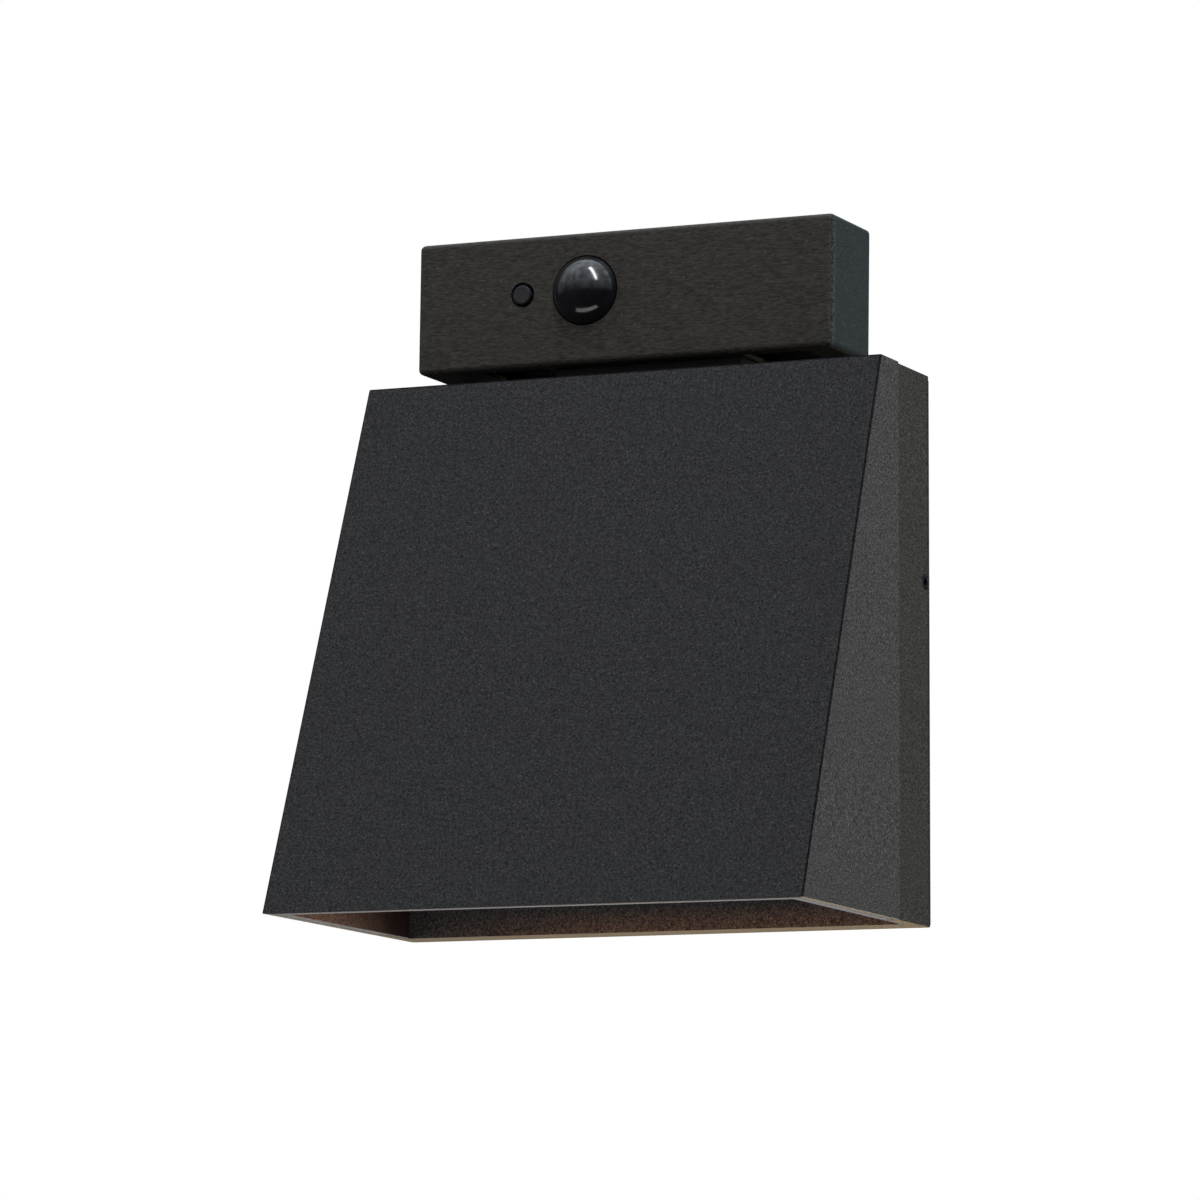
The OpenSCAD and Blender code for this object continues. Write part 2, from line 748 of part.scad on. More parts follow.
// Leads of the driver: one over the back panel to the terminal block, one through the carrier to the board
module driver_leads() {
    wire_z = carrier_z + carrier_t + driver_h / 2;
    start_x = driver_right - wire_in;
    run_x = driver_right + wire_out;
    mains_y = driver_mid_y + wire_side;
    board_y = driver_mid_y - wire_side;
    run_z = terminal_low - 2.2;
    pole_x = terminal_x - terminal_pitch;
    pole_y = -plate_t - entry_back - entry_size / 2;
    color("white") {
        lead([
            [start_x, mains_y, wire_z],
            [pole_x, mains_y, wire_z],
            [pole_x, mains_y, run_z],
            [pole_x, pole_y, run_z],
            [pole_x, pole_y, terminal_low + wire_in]
        ], wire_r);
        lead([
            [start_x, board_y, wire_z],
            [run_x, board_y, wire_z],
            [run_x, board_y, carrier_z]
        ], wire_r);
    }
}

// Circuit board of the light sources, bonded under the carrier
module led_board() {
    color("white") translate([0, shaft_mid_y, carrier_z - board_t])
        linear_extrude(board_t) round_rect([led_board_l, led_board_w], 2);
}

// The light sources, in two rows
module led_chips() {
    pitch = led_board_l / led_count;
    color("khaki") for (i = [0:led_count - 1], row = [-1, 1])
        translate([(i - (led_count - 1) / 2) * pitch, shaft_mid_y + row * led_board_w / 4,
                   carrier_z - board_t - led_h / 2])
            cube([led_size, led_size, led_h], center = true);
}

// Silicone ring between the diffuser and the carrier
module diffuser_seal() {
    color("lightgray") translate([0, shaft_mid_y, carrier_z - diffuser_seal_h])
        linear_extrude(diffuser_seal_h) difference() {
            square([diffuser_l(), diffuser_w()], center = true);
            square([diffuser_l() - 2, diffuser_w() - 2], center = true);
        }
}

function diffuser_l() = frame_l - 4 * frame_wall;
function diffuser_w() = frame_w - frame_wall - 1;

// Frosted diffuser
module diffuser() {
    color("white") translate([0, shaft_mid_y, carrier_z - diffuser_seal_h - diffuser_t])
        linear_extrude(diffuser_t) square([diffuser_l(), diffuser_w()], center = true);
}

// Frame that holds the diffuser and its seal up to the carrier
module diffuser_frame() {
    color("#3a3a3a") difference() {
        translate([0, shaft_mid_y, frame_low()])
            linear_extrude(carrier_z - frame_low()) round_rect([frame_l, frame_w], 3);
        translate([0, shaft_mid_y, frame_low() + frame_lip_t]) linear_extrude(carrier_z)
            square([diffuser_l() + 2 * slip, diffuser_w() + 2 * slip], center = true);
        translate([0, shaft_mid_y, frame_low() - cut]) linear_extrude(carrier_z)
            square([diffuser_l() - 2 * frame_lip_w, diffuser_w() - 2 * frame_lip_w], center = true);
        at_frame_screws() translate([0, 0, -20]) cylinder(r = clear_r, h = 20 + cut);
    }
}

// The four screws of the diffuser's frame
module frame_screws() {
    color("silver") at_frame_screws()
        screw(screw_r, carrier_z - frame_low() + carrier_t, frame_head_r, frame_head_h);
}

// Neck: a moulded duct between the housing and the sensor box, with two lead passages
module neck_duct() {
    color("#1c1d1e") translate([0, 0, rear_h]) difference() {
        linear_extrude(box_low - rear_h) translate([0, -(neck_depth + plate_t) / 2])
            round_rect([neck_w, neck_depth - plate_t], 1.5);
        lead_slots(-cut, box_low - rear_h + cut);
    }
}

// Lead from the sensor down through the neck to the terminal block
module sensor_lead() {
    color("white") translate([neck_lead_x, -lead_y, terminal_top])
        cylinder(r = lead_r, h = case_low - terminal_top);
}

// The sensor box's outside: round at its front edges and at its four corners
module box_form() {
    middle = (box_low + box_high) / 2;
    intersection() {
        translate([box_shift, 0, box_low]) linear_extrude(box_h) mirror([0, 1])
            round_top(box_w, slip, box_depth, box_edge_r);
        rotate([90, 0, 90]) linear_extrude(2 * shade_w, center = true) mirror([1, 0])
            translate([0, middle]) rotate(-90) round_top(box_h, slip, box_depth, box_edge_r);
        upright(box_depth + cut, -cut) translate([box_shift, middle]) round_rect([box_w, box_h], box_edge_r);
    }
}

// Sensor box: a five-sided painted metal cover with holes for dome and button
module sensor_cover() {
    dome_gap = 0.5;
    button_gap = 0.65;
    vent_front = 5;
    color("#302c28") difference() {
        box_form();
        span([box_left + box_t, box_right - box_t], [-box_depth + box_t, cut],
             [box_low + box_t, box_high - box_t]);
        at_dome() translate([0, 0, -2 * box_t]) cylinder(r = dome_r + dome_gap, h = 4 * box_t);
        at_button() translate([0, 0, -2 * box_t]) cylinder(r = button_r + button_gap, h = 4 * box_t);
        for (side = [0, 1]) mirror([side, 0, 0])
            span([neck_w / 2 + 2, neck_w / 2 + vent_l], [-box_depth + vent_front, -plate_t - 4],
                 [box_low - cut, box_low + box_t + cut]);
        lead_slots(box_low - cut, box_low + box_t + cut);
        span([-(tongue_plate_w / 2 + slip), tongue_plate_w / 2 + slip], [-plate_t - slip, cut],
             [box_low - cut, box_low + box_t + cut]);
        at_box_tabs() translate([0, 0, -cut]) cylinder(r = clear_r, h = box_t + 2 * cut);
    }
}

// The two screws under the sensor box, into the tabs of the wall plate
module sensor_cover_screws() {
    color("#302f2e") at_box_tabs() rotate([180, 0, 0])
        screw(screw_r, box_t + slip + 2 * tab_t, frame_head_r, frame_head_h);
}

// Sensor case: the moulded tub that holds the lens, the board and the button
module sensor_case() {
    inner_front = case_front - case_t;
    collar_h = retainer_front + retainer_t - flange_front + seal_t;
    post_r = 2.4;
    color("#232323") difference() {
        union() {
            difference() {
                span([case_left, case_right], [-case_front, -plate_t - lid_t], [case_low, case_high]);
                span([case_left + case_t, case_right - case_t], [-inner_front, 0],
                     [case_low + case_t, case_high - case_t]);
            }
            intersection() {
                span([case_left, case_right], [-case_front, 0], [case_low, case_high]);
                at_dome() translate([0, 0, -retainer_front - retainer_t])
                    cylinder(r = flange_r + slip + collar_t, h = collar_h + 0.5);
            }
            intersection() {
                span([case_left, case_right], [-case_front, -plate_t - lid_t], [case_low, case_high]);
                at_case_pillars() translate([0, 0, -case_front]) cylinder(r = pillar_r, h = case_front);
            }
            at_board_posts() translate([0, 0, -pcb_t - (inner_front - pcb_y) - 0.5])
                cylinder(r = post_r, h = inner_front - pcb_y + 0.5);
        }
        at_dome() translate([0, 0, -retainer_front - retainer_t - cut])
            cylinder(r = flange_r + slip, h = collar_h + cut);
        at_dome() translate([0, 0, -box_depth]) cylinder(r = dome_r + slip, h = box_depth);
        at_button() translate([0, 0, -box_depth]) cylinder(r = button_r + guide_gap, h = box_depth);
        at_case_pillars() translate([0, 0, -lid_t - case_bite - 1])
            cylinder(r = tiny_tap_r, h = case_bite + 2);
        at_board_posts() translate([0, 0, -pcb_t - post_bite - 1])
            cylinder(r = tiny_tap_r, h = post_bite + 2);
        translate([neck_lead_x, -lead_y, case_low - cut]) cylinder(r = lead_r - 0.6, h = case_t + 2 * cut);
    }
}

// Back of the sensor case, with an ear at each end for the wall plate
module sensor_case_back() {
    color("#282828") difference() {
        upright(plate_t + lid_t, plate_t) {
            translate([case_left, case_low]) square([case_right - case_left, case_high - case_low]);
            translate([(case_left + case_right) / 2, (case_low + case_high) / 2])
                round_rect([case_right - case_left + 2 * lid_ear, lid_ear_h], 3);
        }
        at_case_pillars() flush_hole(tiny_r + 0.3, lid_t + cut, tiny_head_r + 0.1);
        at_case_ears() translate([0, 0, -lid_t - cut]) cylinder(r = clear_r, h = lid_t + 2 * cut);
    }
}

// The four flush screws that close the sensor case from behind
module case_screws() {
    color("silver") at_case_pillars() flush_screw(tiny_r, lid_t + case_bite, tiny_head_r);
}

// The two screws that hold the sensor case to the wall plate
module case_fixing_screws() {
    color("silver") at_case_ears() screw(screw_r, lid_t + plate_t, screw_head_r, screw_head_h);
}

// Lens: a thin dome on a short neck, with a flange behind the case's front
module pir_lens() {
    color("#0d0d10") at_dome() difference() {
        union() {
            intersection() {
                translate([0, 0, dome_proud - dome_ball_r]) sphere(dome_ball_r);
                cylinder(r = 2 * dome_r, h = 2 * dome_proud);
            }
            translate([0, 0, -flange_front]) cylinder(r = dome_r, h = flange_front);
            translate([0, 0, -flange_front - flange_t]) cylinder(r = flange_r, h = flange_t);
        }
        intersection() {
            translate([0, 0, dome_proud - dome_ball_r]) sphere(dome_ball_r - lens_t);
            cylinder(r = 2 * dome_r, h = 2 * dome_proud);
        }
        translate([0, 0, -flange_front - flange_t - cut])
            cylinder(r = lens_bore_r(), h = flange_front + flange_t + cut);
    }
}

function lens_bore_r() = sqrt(pow(dome_ball_r - lens_t, 2) - pow(dome_ball_r - dome_proud, 2));

// Flat sealing ring between the lens flange and the case
module lens_seal() {
    color("#3c3c3c") at_dome() translate([0, 0, -flange_front]) difference() {
        cylinder(r = flange_r, h = seal_t);
        translate([0, 0, -cut]) cylinder(r = dome_r + slip, h = seal_t + 2 * cut);
    }
}

// Ring that clips into the case's collar and holds the lens
module lens_retainer() {
    color("dimgray") at_dome() translate([0, 0, -retainer_front - retainer_t]) difference() {
        cylinder(r = flange_r + slip - thread_gap, h = retainer_t);
        translate([0, 0, -cut]) cylinder(r = dome_r - 1.4, h = retainer_t + 2 * cut);
    }
}

// Circuit board of the sensor
module sensor_board() {
    color("darkgreen") difference() {
        upright(pcb_y, pcb_y - pcb_t) translate([pcb_left, pcb_low])
            square([pcb_right - pcb_left, pcb_high - pcb_low]);
        at_board_posts() translate([0, 0, -pcb_t - cut]) cylinder(r = tiny_r + 0.3, h = pcb_t + 2 * cut);
    }
}

// The four screws of the sensor's board
module board_screws() {
    color("silver") at_board_posts() screw(tiny_r, pcb_t + post_bite, tiny_head_r, tiny_head_h);
}

// Infrared detector in a metal can on its pins, in the middle of the dome
module pir_detector() {
    pin_l = 5;
    pin_r = 0.4;
    brim_r = 4.7;
    brim_t = 0.8;
    can_r = 4.1;
    can_h = 4;
    window = [3.8, 3];
    color("silver") translate([dome_x, -pcb_y, dome_z]) to_room() difference() {
        union() {
            for (turn = [0:2]) rotate(120 * turn) translate([can_r * 0.6, 0, 0])
                cylinder(r = pin_r, h = pin_l + brim_t / 2);
            translate([0, 0, pin_l]) cylinder(r = brim_r, h = brim_t);
            translate([0, 0, pin_l + brim_t]) cylinder(r = can_r, h = can_h);
        }
        translate([0, 0, pin_l + brim_t + can_h]) cube([window[0], window[1], 2 * pin_r], center = true);
    }
}

// Relay that switches the lamp
module sensor_relay() {
    color("royalblue") translate([relay_x, -pcb_y, (pcb_low + pcb_high) / 2])
        to_room() linear_extrude(relay[2]) round_rect([relay[0], relay[1]], 0.6);
}

// Capacitor of the sensor's supply, on the back of the board
module supply_capacitor() {
    can_r = 4;
    can_l = 7;
    color("#223047") translate([relay_x, -pcb_y + pcb_t, (pcb_low + pcb_high) / 2])
        rotate([-90, 0, 0]) cylinder(r = can_r, h = can_l);
}

// Body of the push switch under the button
module mode_switch() {
    color("#151515") translate([button_x, -pcb_y, dome_z]) to_room() difference() {
        translate([0, 0, switch_h / 2]) cube([switch_size, switch_size, switch_h], center = true);
        translate([0, 0, switch_floor]) cylinder(r = plunger_r + slip, h = switch_h);
    }
}

// Plunger of the push switch, pushed by the button
module switch_plunger() {
    color("#303030") translate([button_x, -pcb_y, dome_z]) to_room()
        translate([0, 0, switch_floor + button_travel + plunger_rest])
            cylinder(r = plunger_r,
                     h = switch_h + plunger_proud - switch_floor - button_travel - plunger_rest);
}

// Push button: a cap through the box's face, a flange that keeps it in and a stem to the plunger
module mode_button() {
    flange_top = box_depth - case_front + case_t + 0.2;
    stem_end = box_depth - pcb_y - switch_h - plunger_proud;
    round_over = 0.5;
    color("#26272a") at_button() rotate_extrude() difference() {
        union() {
            translate([0, -flange_top - button_flange_t]) square([button_flange_r, button_flange_t]);
            translate([0, -flange_top - 0.5])
                square([button_r, flange_top + 0.5 + button_proud - round_over]);
            translate([0, -flange_top]) square([button_r - round_over, flange_top + button_proud]);
            translate([button_r - round_over, button_proud - round_over]) circle(round_over);
            translate([0, -stem_end]) square([plunger_r, stem_end - flange_top]);
        }
        translate([-2 * button_r, -box_depth]) square([2 * button_r, 2 * box_depth]);
    }
}

set_on_wall() wall_plate();
set_on_wall() wall_gasket();
set_on_wall() cable_grommet();
set_on_wall() earth_screw();
set_on_wall() terminal_block();
set_on_wall() terminal_screws();
set_on_wall() rear_housing();
set_on_wall() side_screws();
set_on_wall() front_cover();
set_on_wall() cover_screws();
set_on_wall() shade_liner();
set_on_wall() liner_screws();
set_on_wall() led_carrier();
set_on_wall() carrier_screws();
set_on_wall() led_driver();
set_on_wall() driver_screws();
set_on_wall() driver_leads();
set_on_wall() led_board();
set_on_wall() led_chips();
set_on_wall() diffuser_seal();
set_on_wall() diffuser();
set_on_wall() diffuser_frame();
set_on_wall() frame_screws();
set_on_wall() neck_duct();
set_on_wall() sensor_lead();
set_on_wall() sensor_cover();
set_on_wall() sensor_cover_screws();
set_on_wall() sensor_case();
set_on_wall() sensor_case_back();
set_on_wall() case_screws();
set_on_wall() case_fixing_screws();
set_on_wall() pir_lens();
set_on_wall() lens_seal();
set_on_wall() lens_retainer();
set_on_wall() sensor_board();
set_on_wall() board_screws();
set_on_wall() pir_detector();
set_on_wall() sensor_relay();
set_on_wall() supply_capacitor();
set_on_wall() mode_switch();
set_on_wall() switch_plunger();
set_on_wall() mode_button();
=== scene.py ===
import math

import bmesh
import bpy
from mathutils import Matrix, Vector


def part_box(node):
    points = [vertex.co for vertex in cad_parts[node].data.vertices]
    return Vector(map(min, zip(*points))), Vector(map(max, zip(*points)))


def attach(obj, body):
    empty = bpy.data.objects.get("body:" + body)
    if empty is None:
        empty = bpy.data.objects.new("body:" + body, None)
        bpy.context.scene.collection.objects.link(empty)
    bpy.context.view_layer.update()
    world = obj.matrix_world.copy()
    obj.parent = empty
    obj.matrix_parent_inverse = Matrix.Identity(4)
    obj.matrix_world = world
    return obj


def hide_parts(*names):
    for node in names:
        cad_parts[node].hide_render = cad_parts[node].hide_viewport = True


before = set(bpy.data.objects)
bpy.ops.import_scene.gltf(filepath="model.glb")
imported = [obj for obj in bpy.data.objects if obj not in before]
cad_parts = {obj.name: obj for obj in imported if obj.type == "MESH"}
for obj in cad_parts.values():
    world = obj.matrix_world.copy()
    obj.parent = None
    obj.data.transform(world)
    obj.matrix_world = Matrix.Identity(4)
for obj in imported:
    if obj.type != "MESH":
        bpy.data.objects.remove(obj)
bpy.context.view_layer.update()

# The camera stands below the lamp and to its right, about two metres off with a long lens,
# and looks up at the wall where the lamp hangs.
camera_place = Vector((0.9184, -2.0104, -0.3756))
camera_turn = math.radians(25.22)
camera_tilt = math.radians(98.23)
camera_roll = math.radians(0.78)
lens_data = bpy.data.cameras.new("photo_lens")
lens_data.sensor_width = 36
lens_data.lens = 190.4
camera = bpy.data.objects.new("photo_camera", lens_data)
camera.matrix_world = (
    Matrix.Translation(camera_place)
    @ Matrix.Rotation(camera_turn, 4, "Z")
    @ Matrix.Rotation(camera_tilt, 4, "X")
    @ Matrix.Rotation(camera_roll, 4, "Z")
)
bpy.context.scene.collection.objects.link(camera)
bpy.context.scene.camera = camera


# Wall plate: one sheet of galvanised steel, punched and folded, screwed to the wall first.
# Its ears take the housing's side screws and its tabs carry the sensor box.
plate_edge = 0.0002
small_edge = 0.00015
edge_steps = 2
sharp_edge = math.radians(35)
weld_gap = 0.000003
flat_weight = 100
zinc_grey = (0.42, 0.44, 0.46)
# The colour sockets of a mix node: what lies below, what lies on it, and what comes out
mix_base, mix_top, mix_result = 6, 7, 2


def start_finish(name, colour, roughness, metallic=0.0):
    """A new finish with its shader, ready for grain"""
    finish = bpy.data.materials.new(name)
    finish.use_nodes = True
    tree = finish.node_tree
    shader = tree.nodes["Principled BSDF"]
    shader.inputs["Base Color"].default_value = (*colour, 1)
    shader.inputs["Roughness"].default_value = roughness
    shader.inputs["Metallic"].default_value = metallic
    return finish, tree, shader


def grain(tree, scale, stretch=(1, 1, 1), detail=2.0, shift=0.0):
    """A noise fixed to the piece: scale is in grains a metre, stretch lengthens them on an axis"""
    place = tree.nodes.new("ShaderNodeTexCoord")
    squeeze = tree.nodes.new("ShaderNodeMapping")
    squeeze.inputs["Location"].default_value = (shift, shift, shift)
    squeeze.inputs["Scale"].default_value = [1 / length for length in stretch]
    noise = tree.nodes.new("ShaderNodeTexNoise")
    noise.inputs["Scale"].default_value = scale
    noise.inputs["Detail"].default_value = detail
    tree.links.new(place.outputs["Object"], squeeze.inputs["Vector"])
    tree.links.new(squeeze.outputs["Vector"], noise.inputs["Vector"])
    return noise.outputs["Fac"]


def spread(tree, fac, low, high, start=0.3, end=0.7):
    """Turns a factor between start and end into a value between low and high"""
    span = tree.nodes.new("ShaderNodeMapRange")
    for socket, value in zip(("From Min", "From Max", "To Min", "To Max"), (start, end, low, high)):
        span.inputs[socket].default_value = value
    tree.links.new(fac, span.inputs["Value"])
    return span.outputs["Result"]


def mottle(tree, shader, fac, dark, light):
    """Colours a piece between dark and light after a noise"""
    mix = tree.nodes.new("ShaderNodeMix")
    mix.data_type = "RGBA"
    mix.inputs[mix_base].default_value = (*dark, 1)
    mix.inputs[mix_top].default_value = (*light, 1)
    tree.links.new(spread(tree, fac, 0, 1), mix.inputs["Factor"])
    tree.links.new(mix.outputs[mix_result], shader.inputs["Base Color"])


def overlay(tree, shader, factor, colour, blend="MIX"):
    """Lays a colour over the piece's colour, or multiplies by it, where the factor is high"""
    base = shader.inputs["Base Color"]
    mix = tree.nodes.new("ShaderNodeMix")
    mix.data_type = "RGBA"
    mix.blend_type = blend
    tree.links.new(base.links[0].from_socket, mix.inputs[mix_base])
    mix.inputs[mix_top].default_value = (*colour, 1)
    tree.links.new(factor, mix.inputs["Factor"])
    tree.links.new(mix.outputs[mix_result], base)


def roughen(tree, shader, fac, low, high):
    """Varies the roughness of a piece after a noise"""
    tree.links.new(spread(tree, fac, low, high), shader.inputs["Roughness"])


def raise_grain(tree, shader, fac, height):
    """Raises the surface by up to height metres after a noise"""
    bump = tree.nodes.new("ShaderNodeBump")
    bump.inputs["Distance"].default_value = height
    tree.links.new(fac, bump.inputs["Height"])
    tree.links.new(bump.outputs["Normal"], shader.inputs["Normal"])


def times(colour, share):
    """A colour made darker or brighter by a share"""
    return tuple(value * share for value in colour)


def shades(colour, share):
    """A form of a colour that is darker by a share of it, and one that is lighter by as much"""
    return [times(colour, 1 + sign * share) for sign in (-1, 1)]


def cells(tree, scale):
    """Flat-toned cells that are fixed to the piece, about scale of them in a metre"""
    crystal = tree.nodes.new("ShaderNodeTexVoronoi")
    crystal.inputs["Scale"].default_value = scale
    place = tree.nodes.new("ShaderNodeTexCoord")
    tree.links.new(place.outputs["Object"], crystal.inputs["Vector"])
    tone = tree.nodes.new("ShaderNodeSeparateColor")
    tree.links.new(crystal.outputs["Color"], tone.inputs["Color"])
    return tone.outputs["Red"]


def galvanised_sheet():
    """Dull zinc with large soft spangles and a fine rolled grain"""
    finish, tree, shader = start_finish("galvanised_sheet", zinc_grey, 0.45, 1.0)
    mottle(tree, shader, cells(tree, 160), *shades(zinc_grey, 0.12))
    rolled = grain(tree, 900, (8, 1, 1))
    roughen(tree, shader, rolled, 0.36, 0.52)
    raise_grain(tree, shader, rolled, 0.00001)
    return finish


def ease(piece, radius):
    """Rounds every sharp edge of a piece by a small radius and keeps its flats evenly shaded"""
    weld = piece.modifiers.new("weld", "WELD")
    weld.merge_threshold = weld_gap
    edges = piece.modifiers.new("round_edges", "BEVEL")
    edges.width = radius
    edges.segments = edge_steps
    edges.limit_method = "ANGLE"
    edges.angle_limit = sharp_edge
    edges.harden_normals = True
    flats = piece.modifiers.new("even_flats", "WEIGHTED_NORMAL")
    flats.weight = flat_weight


def dress(node, finish, radius=small_edge):
    """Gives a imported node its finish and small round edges"""
    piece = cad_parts[node]
    piece.data.materials.clear()
    piece.data.materials.append(finish)
    piece.data.shade_smooth()
    ease(piece, radius)
    return piece


dress("wall_plate", galvanised_sheet(), plate_edge)


# Foam gasket and cable grommet: closed-cell foam glued to the wall side of the housing's edge,
# and a moulded rubber bush pressed into the plate, where the mains cable comes out of the wall.
foam_black = (0.03, 0.031, 0.033)
rubber_black = (0.022, 0.022, 0.022)


def closed_foam():
    """Matt foam with burst cells half a millimetre across"""
    finish, tree, shader = start_finish("closed_foam", foam_black, 0.95)
    pores = grain(tree, 2200, detail=1)
    mottle(tree, shader, pores, *shades(foam_black, 0.45))
    raise_grain(tree, shader, pores, 0.00012)
    return finish


def moulded(name, colour, roughness, grains=1600, depth=0.00002, gloss=0.5):
    """Moulded plastic or rubber with the fine eroded grain of its tool"""
    finish, tree, shader = start_finish(name, colour, roughness)
    shader.inputs["Specular IOR Level"].default_value = gloss
    eroded = grain(tree, grains, detail=3)
    mottle(tree, shader, eroded, *shades(colour, 0.08))
    roughen(tree, shader, grain(tree, 140), roughness - 0.06, roughness + 0.06)
    raise_grain(tree, shader, eroded, depth)
    return finish


foam = closed_foam()
dress("wall_gasket", foam)
dress("cable_grommet", moulded("bush_rubber", rubber_black, 0.7))


# Earth screw, terminal block and clamp screws: a brass screw tapped into the plate beside the
# cable, and a polyamide block for three wires, screwed to the plate.
brass_yellow = (0.62, 0.43, 0.16)
polyamide = (0.72, 0.69, 0.6)
bright_zinc = (0.62, 0.63, 0.62)


def turned_metal(name, colour, roughness):
    """Turned or plated metal with fine tool marks and a slight tint"""
    finish, tree, shader = start_finish(name, colour, roughness, 1.0)
    mottle(tree, shader, grain(tree, 220), *shades(colour, 0.08))
    marks = grain(tree, 5000, (1, 6, 1), detail=1)
    roughen(tree, shader, marks, roughness - 0.08, roughness + 0.1)
    raise_grain(tree, shader, marks, 0.000004)
    return finish


plated_steel = turned_metal("plated_steel", bright_zinc, 0.3)
dress("earth_screw", turned_metal("turned_brass", brass_yellow, 0.28))
dress("terminal_block", moulded("terminal_polyamide", polyamide, 0.5))
dress("terminal_screws", plated_steel)


# Rear housing: a die-cast aluminium tray with the back panel and a closed bottom, powder coated.
# The side screws clamp it to the plate's ears, so a flush head shows on each side near the wall.
housing_black = (0.0116, 0.0114, 0.0108)
panel_grey = (0.0255, 0.028, 0.031)
# The panel's browner band, low down and to the right, is painted warm light from below
painted_warm_light = (3.3, 1.95, 1.3)
panel_face = -0.0155
panel_half = 0.093
warm_light_full_x = -panel_half * 0.2
warm_light_height = 0.009
# The housing's rim faces are painted pale, partly worn paint and partly painted light from below
housing_lit_rim = (0.135, 0.12, 0.085)
rim_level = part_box("front_cover")[0].z
# A painted shade darkens the housing's coat in a narrow band along the edge that meets the wall
wall_line = 0.0032
line_core = 0.6
wall_shade = (0.2, 0.22, 0.36)
screw_black = (0.012, 0.012, 0.012)
coat_gloss = 0.12
cast_edge = 0.0005
flat_face = 0.9
level_play = 0.0005


def sand_coat(name, colour, roughness=0.6, gloss=coat_gloss):
    """Powder coat with a fine sand texture: soft clouds, tiny light grains and dark pinholes"""
    finish, tree, shader = start_finish(name, colour, roughness)
    shader.inputs["Specular IOR Level"].default_value = gloss
    clouds = grain(tree, 1250, detail=3)
    mottle(tree, shader, clouds, *shades(colour, 0.65))
    bright_grains = spread(tree, grain(tree, 1600, detail=2, shift=0.31), 0, 1, 0.58, 0.7)
    overlay(tree, shader, bright_grains, times(colour, 2.8))
    pinholes = spread(tree, grain(tree, 1500, detail=2, shift=0.77), 1, 0, 0.3, 0.4)
    overlay(tree, shader, pinholes, times(colour, 0.1))
    roughen(tree, shader, grain(tree, 500), roughness - 0.08, roughness + 0.1)
    raise_grain(tree, shader, clouds, 0.00007)
    return finish


# Rim faces: partly worn paint, and mostly painted light from below
def worn_and_lit_rim(name, colour):
    """A rim painted much paler than its coat, partly for thin worn paint and partly as painted light from
    below: smoother, only faintly mottled
    """
    finish, tree, shader = start_finish(name, colour, 0.5)
    shader.inputs["Specular IOR Level"].default_value = coat_gloss
    thin = grain(tree, 700, detail=3)
    mottle(tree, shader, thin, *shades(colour, 0.18))
    roughen(tree, shader, thin, 0.42, 0.6)
    raise_grain(tree, shader, thin, 0.00002)
    return finish


def along(tree, axis, start, end):
    """Runs from 0 to 1 along an axis of the piece, between two places"""
    place = tree.nodes.new("ShaderNodeTexCoord")
    split = tree.nodes.new("ShaderNodeSeparateXYZ")
    tree.links.new(place.outputs["Object"], split.inputs["Vector"])
    return spread(tree, split.outputs[axis], 0, 1, start, end)


def both(tree, one, other):
    """The product of two factors, high only where both are"""
    product = tree.nodes.new("ShaderNodeMath")
    product.operation = "MULTIPLY"
    tree.links.new(one, product.inputs[0])
    tree.links.new(other, product.inputs[1])
    return product.outputs["Value"]


def reopen(finish):
    """The node tree and the shader of a finish, to add to it"""
    return finish.node_tree, finish.node_tree.nodes["Principled BSDF"]


def housing_coat():
    """The housing's coat, with painted shade along the edge that meets the wall"""
    finish = sand_coat("housing_coat", housing_black)
    tree, shader = reopen(finish)
    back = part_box("rear_housing")[1].y
    wall_shade_band = along(tree, "Y", back - wall_line, back - wall_line * line_core)
    overlay(tree, shader, wall_shade_band, wall_shade, "MULTIPLY")
    return finish


def panel_coat():
    """The back panel's coat, with painted warm light: browner low down and to the right, grey at its left
    end and higher up
    """
    finish = sand_coat("panel_coat", panel_grey)
    tree, shader = reopen(finish)
    low = along(tree, "Z", rim_level + warm_light_height, rim_level)
    right = along(tree, "X", -panel_half, warm_light_full_x)
    overlay(tree, shader, both(tree, low, right), painted_warm_light, "MULTIPLY")
    return finish


def paint_faces(piece, finish, direction, level):
    """Gives the faces that look in a direction, at one level along it, their own finish"""
    piece.data.materials.append(finish)
    facing = Vector(direction)
    for face in piece.data.polygons:
        if face.normal.dot(facing) > flat_face and abs(face.center.dot(facing) - level) < level_play:
            face.material_index = len(piece.data.materials) - 1


housing = dress("rear_housing", housing_coat(), cast_edge)
# Its rim faces below are painted pale, partly as painted light from below
paint_faces(housing, worn_and_lit_rim("housing_lit_rim", housing_lit_rim), (0, 0, -1), -rim_level)
# The back panel's face gets its own coat, with painted warm light low down
paint_faces(housing, panel_coat(), (0, -1, 0), -panel_face)
dress("side_screws", turned_metal("blackened_steel", screw_black, 0.45))


# Front cover: a die-cast wedge shell whose sides lean in a little, open at its back and below.
# It slides over the housing's tongue and two screws from behind pull its bosses to the lugs.
cover_black = (0.0165, 0.0165, 0.0174)
# The cover's side rims are painted pale, partly worn paint and partly painted light from below; its front
# rim keeps the coat
cover_lit_rim = (0.145, 0.142, 0.12)
# The rounded creases where the front meets the sides and the top are painted near-black as painted shade
painted_crease_shade = (0.0045, 0.0045, 0.006)
cover_wall = 0.0025
top_front = -0.0465
side_draft = 0.002
crease_radius = 0.0006
crease_steps = 3
cover_edge = 0.0003
coat_place, crease_place, rim_place = 0, 1, 2
cover_low, cover_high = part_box("front_cover")
boss_x, boss_down, boss_radius, boss_bore = 0.08425, 0.012, 0.004, 0.0017
boss_back, bore_depth = -0.035, 0.009
boss_steps = 24
lean = (top_front - cover_low.y) / (cover_high.z - cover_low.z)
lean_step = math.sqrt(1 + lean * lean)


